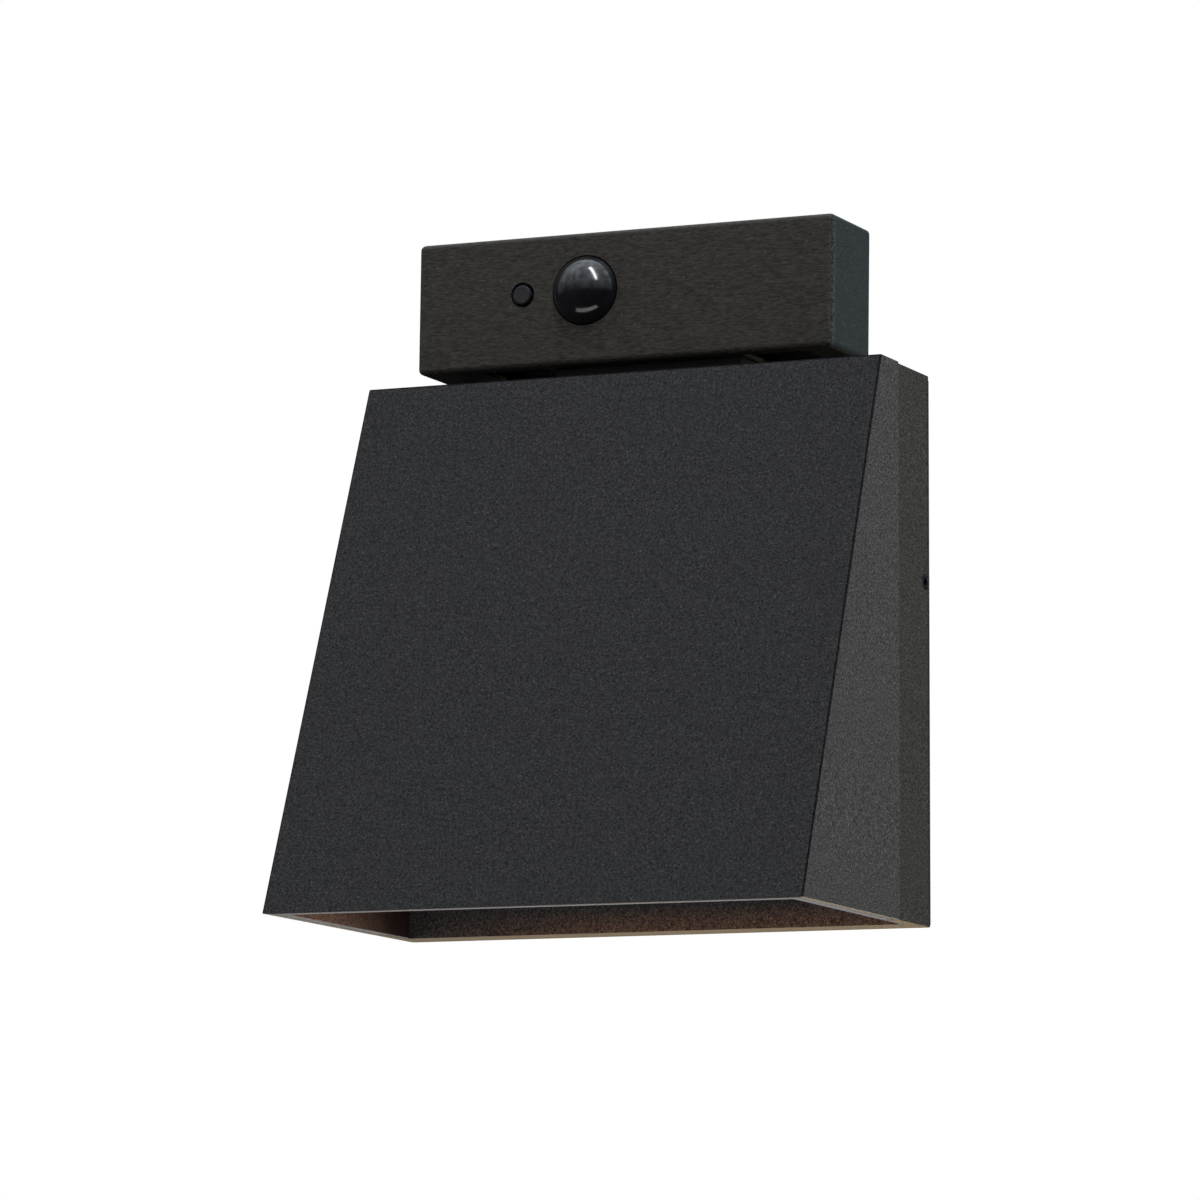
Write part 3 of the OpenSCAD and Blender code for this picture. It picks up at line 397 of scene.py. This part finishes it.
def half_at(z):
    """Half the shade's width at a height"""
    return cover_high.x - side_draft * (z - cover_low.z) / (cover_high.z - cover_low.z)


def front_at(z, inset=0.0):
    """Y of the shade's leaning front at a height, or of a skin that is inset behind it"""
    return cover_low.y + lean * (z - cover_low.z) + inset * lean_step


def link_mesh(name, form, *finishes):
    """Makes an object of a finished mesh form"""
    bmesh.ops.recalc_face_normals(form, faces=form.faces)
    data = bpy.data.meshes.new(name)
    form.to_mesh(data)
    form.free()
    for finish in finishes:
        data.materials.append(finish)
    data.shade_smooth()
    piece = bpy.data.objects.new(name, data)
    bpy.context.scene.collection.objects.link(piece)
    return piece


def cover_skin(form, inset, top):
    """The four corners at the rim and at the top of one skin, from the left seam round to the right"""
    rings = []
    for z in (cover_low.z, top):
        half = half_at(z) - inset
        front = front_at(z, inset)
        corners = ((-half, cover_high.y), (-half, front), (half, front), (half, cover_high.y))
        rings.append([form.verts.new((x, y, z)) for x, y in corners])
    return rings


def circle(form, x, y, z, radius, steps):
    """A ring of points about an axis that points at the room"""
    turn = [2 * math.pi * step / steps for step in range(steps)]
    places = [(x + radius * math.cos(angle), y, z + radius * math.sin(angle)) for angle in turn]
    return [form.verts.new(place) for place in places]


def join_rings(form, rings):
    """Skins one ring after another: a ring of one point is the tip of a fan"""
    for near, far in zip(rings, rings[1:]):
        count = max(len(near), len(far))
        for step in range(count):
            after = (step + 1) % count
            corners = [near[step % len(near)], near[after % len(near)],
                       far[after % len(far)], far[step % len(far)]]
            form.faces.new(list(dict.fromkeys(corners)))


def boss(form, x):
    """A screw boss from the front wall to its open back, with its bore"""
    z = cover_high.z - boss_down
    front = front_at(z, cover_wall / 2)
    outline = ((boss_radius, front), (boss_radius, boss_back),
               (boss_bore, boss_back), (boss_bore, boss_back - bore_depth))
    rings = [circle(form, x, y, z, radius, boss_steps) for radius, y in outline]
    join_rings(form, rings)
    form.faces.new(rings[0])
    form.faces.new(rings[-1])


def cover_form():
    """Outer and inner skin of the cover, joined along the rim and the seam, with marked creases"""
    form = bmesh.new()
    outer_rim, outer_top = cover_skin(form, 0, cover_high.z)
    inner_rim, inner_top = cover_skin(form, cover_wall, cover_high.z - cover_wall)
    for near in range(3):
        far = near + 1
        form.faces.new((outer_rim[near], outer_rim[far], outer_top[far], outer_top[near]))
        form.faces.new((inner_rim[near], inner_rim[far], inner_top[far], inner_top[near]))
        rim_face = form.faces.new((outer_rim[near], outer_rim[far], inner_rim[far], inner_rim[near]))
        rim_face.material_index = coat_place if near == 1 else rim_place
    form.faces.new(outer_top)
    form.faces.new(inner_top)
    form.faces.new((outer_top[0], outer_top[3], inner_top[3], inner_top[0]))
    for end in (0, 3):
        form.faces.new((outer_rim[end], outer_top[end], inner_top[end], inner_rim[end]))
    crease = form.edges.layers.float.new("bevel_weight_edge")
    marked = ((outer_rim[1], outer_top[1]), (outer_rim[2], outer_top[2]), (outer_top[1], outer_top[2]))
    for ends in marked:
        form.edges.get(ends)[crease] = 1.0
    for x in (-boss_x, boss_x):
        boss(form, x)
    return form


# Painted shade on the creases: matt near-black, barely glossy
crease_shade_coat = sand_coat("crease_shade_coat", painted_crease_shade, roughness=0.85, gloss=0.03)
cover = link_mesh("cover_shell", cover_form(), sand_coat("cover_coat", cover_black), crease_shade_coat,
                  worn_and_lit_rim("cover_lit_rim", cover_lit_rim))
creases = cover.modifiers.new("round_creases", "BEVEL")
creases.width = crease_radius
creases.segments = crease_steps
creases.limit_method = "WEIGHT"
creases.material = crease_place
creases.harden_normals = True
ease(cover, cover_edge)
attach(cover, "fixture")
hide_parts("front_cover")
dress("cover_screws", plated_steel)


# Liner: sheet steel folded to a shaft with a return at the rim, powder coated dark brown.
# Its tabs are screwed up to the light engine's carrier.
liner_brown = (0.064, 0.042, 0.034)
# The liner's rim faces are painted pale bluish grey, partly worn paint and partly painted light from
# below
liner_lit_rim = (0.125, 0.14, 0.155)
dark_steel = (0.03, 0.029, 0.028)
fold_edge = 0.0004
# Painted shade darkens the liner towards the back panel, and painted light brightens it close to the rim
fade_start, fade_end = -0.075, -0.028
deep_shade = (0.12, 0.12, 0.14)
rim_fade = 0.008
painted_rim_light = (1.4, 1.4, 1.35)


def liner_coat():
    """The liner's coat, with painted light near the rim and painted shade, nearly black, where it meets
    the back panel
    """
    finish = sand_coat("liner_coat", liner_brown, roughness=0.55)
    tree, shader = reopen(finish)
    overlay(tree, shader, along(tree, "Y", fade_start, fade_end), deep_shade, "MULTIPLY")
    overlay(tree, shader, along(tree, "Z", rim_level + rim_fade, rim_level), painted_rim_light, "MULTIPLY")
    return finish


liner = dress("shade_liner", liner_coat(), fold_edge)
# Its rim faces below are painted pale, partly as painted light from below
paint_faces(liner, worn_and_lit_rim("liner_lit_rim", liner_lit_rim), (0, 0, -1), -rim_level)
dark_screw = turned_metal("dark_screw", dark_steel, 0.4)
dress("liner_screws", dark_screw)


# Light engine: a folded aluminium carrier with cooling fins on the back panel, with the potted
# driver on top and the board of light sources, its seal, frosted diffuser and frame below.
mill_grey = (0.6, 0.61, 0.62)
driver_grey = (0.62, 0.62, 0.6)
sleeve_white = (0.72, 0.72, 0.7)
mask_white, track_white = (0.8, 0.8, 0.78), (0.86, 0.86, 0.85)
phosphor_yellow = (0.8, 0.62, 0.16)
silicone_milk = (0.66, 0.66, 0.63)
silicone_dark, silicone_pale = (0.6, 0.6, 0.57), (0.7, 0.7, 0.67)
opal_white = (0.82, 0.82, 0.8)
frame_black = (0.03, 0.03, 0.031)
carrier_edge, driver_edge, frame_edge = 0.0003, 0.0005, 0.0004


def mill_aluminium():
    """Rolled aluminium with fine lines along the sheet"""
    finish, tree, shader = start_finish("mill_aluminium", mill_grey, 0.38, 1.0)
    rolled = grain(tree, 2500, (30, 1, 1), detail=1)
    mottle(tree, shader, rolled, *shades(mill_grey, 0.08))
    roughen(tree, shader, rolled, 0.28, 0.46)
    raise_grain(tree, shader, rolled, 0.000005)
    return finish


def solder_mask(name, colour, track):
    """Glossy mask over a board, with tracks just raised under it"""
    finish, tree, shader = start_finish(name, colour, 0.28)
    tracks = spread(tree, grain(tree, 420, (4, 1, 0.6), detail=0), 0, 1, 0.5, 0.53)
    mottle(tree, shader, grain(tree, 60), *shades(colour, 0.05))
    overlay(tree, shader, tracks, track)
    raise_grain(tree, shader, tracks, 0.00003)
    return finish


def cast_silicone():
    """Milky silicone that lets a little light through"""
    finish, tree, shader = start_finish("cast_silicone", silicone_milk, 0.5)
    mottle(tree, shader, grain(tree, 300), silicone_dark, silicone_pale)
    shader.inputs["Subsurface Weight"].default_value = 0.3
    shader.inputs["Subsurface Scale"].default_value = 0.002
    return finish


def frosted_opal():
    """Opal polycarbonate with a frosted face"""
    finish, tree, shader = start_finish("frosted_opal", opal_white, 0.55)
    frost = grain(tree, 3000, detail=3)
    mottle(tree, shader, frost, *shades(opal_white, 0.03))
    shader.inputs["Subsurface Weight"].default_value = 0.4
    shader.inputs["Subsurface Scale"].default_value = 0.003
    raise_grain(tree, shader, frost, 0.00001)
    return finish


dress("led_carrier", mill_aluminium(), carrier_edge)
dress("carrier_screws", plated_steel)
dress("led_driver", moulded("driver_case", driver_grey, 0.45), driver_edge)
dress("driver_screws", plated_steel)
dress("driver_leads", moulded("lead_sleeve", sleeve_white, 0.4, depth=0.000005))
dress("led_board", solder_mask("white_mask", mask_white, track_white))
dress("led_chips", moulded("phosphor", phosphor_yellow, 0.35))
dress("diffuser_seal", cast_silicone())
dress("diffuser", frosted_opal())
dress("diffuser_frame", moulded("frame_plastic", frame_black, 0.55), frame_edge)
dress("frame_screws", dark_screw)


# Neck and sensor lead: a moulded duct between housing and sensor box, with two passages.
# A sleeved lead runs down through it from the sensor to the terminal block.
neck_black = (0.012, 0.0125, 0.0135)
neck_edge = 0.0004
dress("neck_duct", moulded("neck_plastic", neck_black, 0.7), neck_edge)
# The sensor's lead gets the same pale sleeve finish as the driver's leads
dress("sensor_lead", bpy.data.materials["lead_sleeve"])


# Sensor case and what is in it: a black tub and lid around the board with the infrared detector,
# relay, capacitor and push switch. The retainer clips the lens and its foam seal to the front.
case_black = (0.014, 0.014, 0.015)
board_green, track_green = (0.012, 0.1, 0.035), (0.02, 0.16, 0.055)
nickel = (0.56, 0.55, 0.52)
relay_blue = (0.03, 0.08, 0.26)
sleeve_blue = (0.012, 0.02, 0.05)
case_plastic = moulded("case_plastic", case_black, 0.6)
for node in ("sensor_case", "sensor_case_back", "lens_retainer", "mode_switch", "switch_plunger"):
    dress(node, case_plastic)
for node in ("case_screws", "case_fixing_screws", "board_screws"):
    dress(node, plated_steel)
dress("lens_seal", foam)
dress("sensor_board", solder_mask("green_mask", board_green, track_green))
dress("pir_detector", turned_metal("nickel_can", nickel, 0.25))
dress("sensor_relay", moulded("relay_case", relay_blue, 0.4))
dress("supply_capacitor", moulded("shrink_sleeve", sleeve_blue, 0.25, depth=0.000004))


# Sensor box: a five-sided cover of thin metal with soft edges, brushed along its length and
# painted satin black; its ends are painted darker and cooler as painted shade, with a speckled
# painted highlight along their front edge. Two screws from below hold it to the plate.
box_black = (0.0252, 0.0229, 0.0196)
# The ends' darker, cooler colour is painted shade, and the pale band at their front edge is a painted
# highlight
shaded_end_black = (0.0088, 0.0112, 0.0124)
painted_edge_highlight = (0.028, 0.03, 0.036)
edge_highlight_width = 0.0026
box_low, box_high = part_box("sensor_cover")
box_wall = 0.0016
box_edge = 0.002
box_steps = 6
inner_corner = 0.0004
least_corner = 0.00005
punched_edge = 0.00025
end_slope, end_reach = 0.45, 0.07
end_place = 1
lens_low, lens_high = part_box("pir_lens")
dome_x = (lens_low.x + lens_high.x) / 2
dome_z = (lens_low.z + lens_high.z) / 2
flange_step = 0.0027
dome_radius = (lens_high.x - lens_low.x) / 2 - flange_step
button_low, button_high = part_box("mode_button")
button_x = (button_low.x + button_high.x) / 2
button_step = 0.0018
button_radius = (button_high.x - button_low.x) / 2 - button_step
dome_gap = 0.0003
button_gap = 0.0011
vent_inner, vent_outer, vent_margin = 0.038, 0.062, 0.005
vent_front, vent_back = box_low.y + vent_margin, -0.006
slot_x, slot_y, slot_half_x, slot_half_y = 0.026, -0.012, 0.006, 0.005
notch_half, notch_depth, past_wall = 0.0303, 0.0023, 0.001
tab_inset, tab_y, tab_hole = 0.009, -0.008, 0.0019
round_points = 96


def satin_box(name, colour, stretch, share, gloss):
    """Satin paint over a brushed sheet: short fine lines and a few small specks"""
    finish, tree, shader = start_finish(name, colour, 0.5)
    shader.inputs["Specular IOR Level"].default_value = gloss
    brushed = grain(tree, 2600, stretch, detail=3)
    mottle(tree, shader, brushed, *shades(colour, share))
    specks = spread(tree, grain(tree, 900, shift=0.4), 0, 0.6, 0.64, 0.74)
    overlay(tree, shader, specks, times(colour, 3))
    roughen(tree, shader, grain(tree, 300, stretch), 0.44, 0.58)
    raise_grain(tree, shader, brushed, 0.00001)
    return finish


def shaded_satin_ends():
    """The box's paint on the two ends, made darker and cooler as painted shade, with a speckled painted
    highlight along the front edge
    """
    finish = satin_box("shaded_satin_ends", shaded_end_black, (1, 5, 1), 0.3, 0.05)
    tree, shader = reopen(finish)
    highlight_specks = spread(tree, grain(tree, 1300, shift=0.2), 0.05, 0.9, 0.45, 0.62)
    at_edge = along(tree, "Y", box_low.y + edge_highlight_width, box_low.y + edge_highlight_width / 2)
    overlay(tree, shader, both(tree, highlight_specks, at_edge), painted_edge_highlight)
    return finish


def box_ring(form, inset, radius, y):
    """A level ring of the box's outline at a depth, with rounded corners"""
    ring = []
    reach = inset + radius
    centres = ((box_high.x - reach, box_high.z - reach), (box_low.x + reach, box_high.z - reach),
               (box_low.x + reach, box_low.z + reach), (box_high.x - reach, box_low.z + reach))
    for quarter, (x, z) in enumerate(centres):
        for step in range(box_steps + 1):
            angle = math.pi / 2 * (quarter + step / box_steps)
            ring.append(form.verts.new((x + radius * math.cos(angle), y, z + radius * math.sin(angle))))
    return ring


def box_form():
    """The box's skin: straight walls, a soft front edge, the front, and the inside"""
    form = bmesh.new()
    rings = [box_ring(form, box_wall, inner_corner, box_low.y + box_wall),
             box_ring(form, box_wall, inner_corner, box_high.y),
             box_ring(form, 0, box_edge, box_high.y)]
    for step in range(box_steps + 1):
        angle = math.pi / 2 * step / box_steps
        inset = box_edge * (1 - math.cos(angle))
        depth = box_low.y + box_edge * (1 - math.sin(angle))
        rings.append(box_ring(form, inset, max(box_edge - inset, least_corner), depth))
    join_rings(form, rings)
    form.faces.new(rings[0])
    form.faces.new(rings[-1])
    return form


def block(form, low, high):
    """A square-edged cutter between two corners"""
    size = Vector(high) - Vector(low)
    place = Matrix.Translation((Vector(high) + Vector(low)) / 2) @ Matrix.Diagonal((*size, 1))
    bmesh.ops.create_cube(form, size=1, matrix=place)


def drill(form, centre, radius, depth, axis):
    """A round cutter along an axis"""
    turn = Vector((0, 0, 1)).rotation_difference(Vector(axis)).to_matrix().to_4x4()
    bmesh.ops.create_cone(form, cap_ends=True, segments=round_points, radius1=radius, radius2=radius,
                          depth=depth, matrix=Matrix.Translation(centre) @ turn)


def box_cuts():
    """All that is punched out of the box: dome, button, vents, passages, notch and screw holes"""
    form = bmesh.new()
    deep = 4 * box_wall
    drill(form, (dome_x, box_low.y, dome_z), dome_radius + dome_gap, deep, (0, 1, 0))
    drill(form, (button_x, box_low.y, dome_z), button_radius + button_gap, deep, (0, 1, 0))
    low, high = box_low.z - box_wall, box_low.z + 1.5 * box_wall
    for side in (-1, 1):
        vent = sorted((side * vent_inner, side * vent_outer))
        block(form, (vent[0], vent_front, low), (vent[1], vent_back, high))
        slot = (side * slot_x - slot_half_x, side * slot_x + slot_half_x)
        block(form, (slot[0], slot_y - slot_half_y, low), (slot[1], slot_y + slot_half_y, high))
    block(form, (-notch_half, -notch_depth, low), (notch_half, past_wall, high))
    for x in (box_low.x + tab_inset, box_high.x - tab_inset):
        drill(form, (x, tab_y, box_low.z), tab_hole, deep, (0, 0, 1))
    return form


def carve(piece, cuts):
    """Takes the cutters out of a piece for good"""
    tool = link_mesh("cutters", cuts)
    cutting = piece.modifiers.new("cut", "BOOLEAN")
    cutting.object = tool
    cutting.solver = "EXACT"
    shape = bpy.data.meshes.new_from_object(piece.evaluated_get(bpy.context.evaluated_depsgraph_get()))
    piece.modifiers.clear()
    piece.data = shape
    bpy.data.objects.remove(tool)


sensor_box = link_mesh("sensor_box", box_form(), satin_box("satin_box", box_black, (6, 1, 1), 0.55, 0.2),
                       shaded_satin_ends())
carve(sensor_box, box_cuts())
# The two ends take the finish with painted shade and a painted edge highlight
for face in sensor_box.data.polygons:
    if abs(face.normal.x) > end_slope and abs(face.center.x - (box_low.x + box_high.x) / 2) > end_reach:
        face.material_index = end_place
ease(sensor_box, punched_edge)
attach(sensor_box, "fixture")
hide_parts("sensor_cover")
dress("sensor_cover_screws", dark_screw)


# Lens: a thin dome of infrared-clear black plastic, polished on the outside, on a short neck
# whose flange is held behind the case's front.
lens_wall = 0.0012
lens_edge = 0.0002
arc_steps = 24
polish_black = (0.004, 0.004, 0.005)
wave_dark, wave_pale = (0.003, 0.003, 0.004), (0.006, 0.006, 0.008)
dome_proud = box_low.y - lens_low.y
ball_radius = (dome_radius ** 2 + dome_proud ** 2) / (2 * dome_proud)
flange_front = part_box("lens_seal")[1].y - box_low.y
flange_back = lens_high.y - box_low.y
bore_radius = math.sqrt((ball_radius - lens_wall) ** 2 - (ball_radius - dome_proud) ** 2)


def lathe(form, profile, x, z, face_y, steps=round_points):
    """Turns a profile of radius and height in front of the face, about an axis that points at the room"""
    rings = []
    for radius, height in profile:
        if radius == 0:
            rings.append([form.verts.new((x, face_y - height, z))])
        else:
            rings.append(circle(form, x, face_y - height, z, radius, steps))
    join_rings(form, rings)


def dome_arc(radius, edge_radius):
    """Radius and height of points along a dome, from its edge up to its middle"""
    widest = math.asin(edge_radius / radius)
    centre = dome_proud - ball_radius
    for step in range(arc_steps + 1):
        angle = widest * (1 - step / arc_steps)
        yield (radius * math.sin(angle) if step < arc_steps else 0, centre + radius * math.cos(angle))


def lens_form():
    """The lens: inner dome, bore, flange, neck and polished outer dome"""
    form = bmesh.new()
    inside = list(dome_arc(ball_radius - lens_wall, bore_radius))[::-1]
    lip = [(bore_radius, -flange_back), (dome_radius + flange_step, -flange_back),
           (dome_radius + flange_step, -flange_front), (dome_radius, -flange_front)]
    lathe(form, inside + lip + list(dome_arc(ball_radius, dome_radius)), dome_x, dome_z, box_low.y)
    return form


def polished_black():
    """Deep black, polished plastic with faint moulding waves"""
    finish, tree, shader = start_finish("polished_black", polish_black, 0.1)
    shader.inputs["Specular IOR Level"].default_value = 0.7
    waves = grain(tree, 90, detail=1)
    mottle(tree, shader, waves, wave_dark, wave_pale)
    roughen(tree, shader, waves, 0.1, 0.16)
    raise_grain(tree, shader, waves, 0.00001)
    return finish


lens = link_mesh("lens_dome", lens_form(), polished_black())
ease(lens, lens_edge)
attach(lens, "fixture")
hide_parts("pir_lens")


# Mode button: a moulded cap through the box's face, with a flange that keeps it in and a stem
# that rests on the switch's plunger. It is the only piece that a user moves.
button_grey = (0.0175, 0.016, 0.018)
button_round = 0.0006
round_steps = 6
cap_edge = 0.00012
cap_dish = 0.00015
cap_points = 64
flange_radius = (button_high.x - button_low.x) / 2
stem_radius = 0.0017
cap_height = box_low.y - button_low.y
stem_end = button_high.y - box_low.y
flange_top, flange_thick = 0.0041, 0.001
flange_low = flange_top + flange_thick


def button_form():
    """Cap with a rounded edge and a slightly hollow top, flange and stem"""
    form = bmesh.new()
    profile = [(0, -stem_end), (stem_radius, -stem_end),
               (stem_radius, -flange_low), (flange_radius, -flange_low),
               (flange_radius, -flange_top), (button_radius, -flange_top)]
    for step in range(round_steps + 1):
        angle = math.pi / 2 * step / round_steps
        profile.append((button_radius - button_round * (1 - math.cos(angle)),
                        cap_height - button_round * (1 - math.sin(angle))))
    for reach, sunk in ((0.6, 0.6), (0.3, 0.95), (0, 1)):
        profile.append((button_radius * reach, cap_height - cap_dish * sunk))
    lathe(form, profile, button_x, dome_z, box_low.y, cap_points)
    return form


button = link_mesh("push_cap", button_form(),
                   moulded("button_plastic", button_grey, 0.6, grains=2600, gloss=0.2))
ease(button, cap_edge)
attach(button, "button")
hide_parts("mode_button")


# The studio: a pale floor far below the lamp, a white surround that is felt as a soft uneven room,
# and soft lights. The strip high in front shows in the dome, the large light on the right is
# brightest on the lamp's side, and the small warm one below lights the inside of the shade.
floor_drop = 2.2
floor_size = 3
floor_pale = (0.8, 0.79, 0.77)
white = (1, 1, 1, 1)
cool_white = (0.85, 0.94, 1, 1)
room_patches = 3.5
room_dim, room_bright, bright_height = 0.03, 1.4, 0.95
patch_dim, patch_bright = 0.4, 1.6
floor_mesh = bmesh.new()
bmesh.ops.create_grid(floor_mesh, x_segments=1, y_segments=1, size=floor_size / 2)
floor_data = bpy.data.meshes.new("studio_floor")
floor_mesh.to_mesh(floor_data)
floor_mesh.free()
floor = bpy.data.objects.new("studio_floor", floor_data)
floor.location.z = -floor_drop
bpy.context.scene.collection.objects.link(floor)
floor_data.materials.append(start_finish("pale_floor", floor_pale, 0.6)[0])

world = bpy.data.worlds.new("white_surround")
bpy.context.scene.world = world
world.use_nodes = True
sky = world.node_tree
for old in list(sky.nodes):
    sky.nodes.remove(old)
seen = sky.nodes.new("ShaderNodeBackground")
seen.inputs["Color"].default_value = white
seen.inputs["Strength"].default_value = 1.0
felt = sky.nodes.new("ShaderNodeBackground")
felt.inputs["Color"].default_value = cool_white
heading = sky.nodes.new("ShaderNodeTexCoord")
height = sky.nodes.new("ShaderNodeSeparateXYZ")
sky.links.new(heading.outputs["Generated"], height.inputs["Vector"])
room = sky.nodes.new("ShaderNodeTexNoise")
room.inputs["Scale"].default_value = room_patches
room.inputs["Detail"].default_value = 2
sky.links.new(heading.outputs["Generated"], room.inputs["Vector"])
rising = spread(sky, height.outputs["Z"], room_dim, room_bright, 0, bright_height)
uneven = spread(sky, room.outputs["Fac"], patch_dim, patch_bright)
sky.links.new(both(sky, rising, uneven), felt.inputs["Strength"])
path = sky.nodes.new("ShaderNodeLightPath")
choose = sky.nodes.new("ShaderNodeMixShader")
world_out = sky.nodes.new("ShaderNodeOutputWorld")
sky.links.new(path.outputs["Is Camera Ray"], choose.inputs["Fac"])
sky.links.new(felt.outputs["Background"], choose.inputs[1])
sky.links.new(seen.outputs["Background"], choose.inputs[2])
sky.links.new(choose.outputs["Shader"], world_out.inputs["Surface"])


def soft_light(name, place, aim, size, power, colour, lie=(0, 0, 1)):
    """A soft light, sized in metres and powered in watts, whose second side lies along a direction"""
    data = bpy.data.lights.new(name, "AREA")
    data.shape = "RECTANGLE"
    data.size, data.size_y = size
    data.energy = power
    data.color = colour
    light = bpy.data.objects.new(name, data)
    back = (Vector(place) - Vector(aim)).normalized()
    side = Vector(lie).cross(back).normalized()
    turn = Matrix((side, back.cross(side), back)).transposed().to_4x4()
    light.matrix_world = Matrix.Translation(place) @ turn
    bpy.context.scene.collection.objects.link(light)
    return light


middle = (0, -0.05, -0.05)
soft_light("window_strip", (1.6, -2.4, 3.9), middle, (0.45, 4.0), 150, (0.95, 0.96, 1),
           lie=(0.73, -0.56, -0.4))
right_light = soft_light("right_light", (2.3, 0.6, 0.3), middle, (1.6, 1.6), 156, (1, 0.965, 0.89))
left_fill = soft_light("left_fill", (-1.9, -1.9, -0.3), (-0.05, -0.08, -0.1), (1.8, 2.6), 40,
                       (1, 0.93, 0.88))
soft_light("warm_bounce", (0.08, -0.14, -0.55), (0, -0.06, -0.17), (0.2, 0.15), 1.7, (1, 0.76, 0.64))
warm_ceiling = soft_light("warm_ceiling", (-1.0, 0.4, 2.0), middle, (0.4, 1.6), 34, (1, 0.62, 0.32),
                          lie=(1, 0, 0))
for light in (right_light, left_fill, warm_ceiling):
    light.visible_glossy = False

bpy.context.scene.view_settings.view_transform = "Standard"
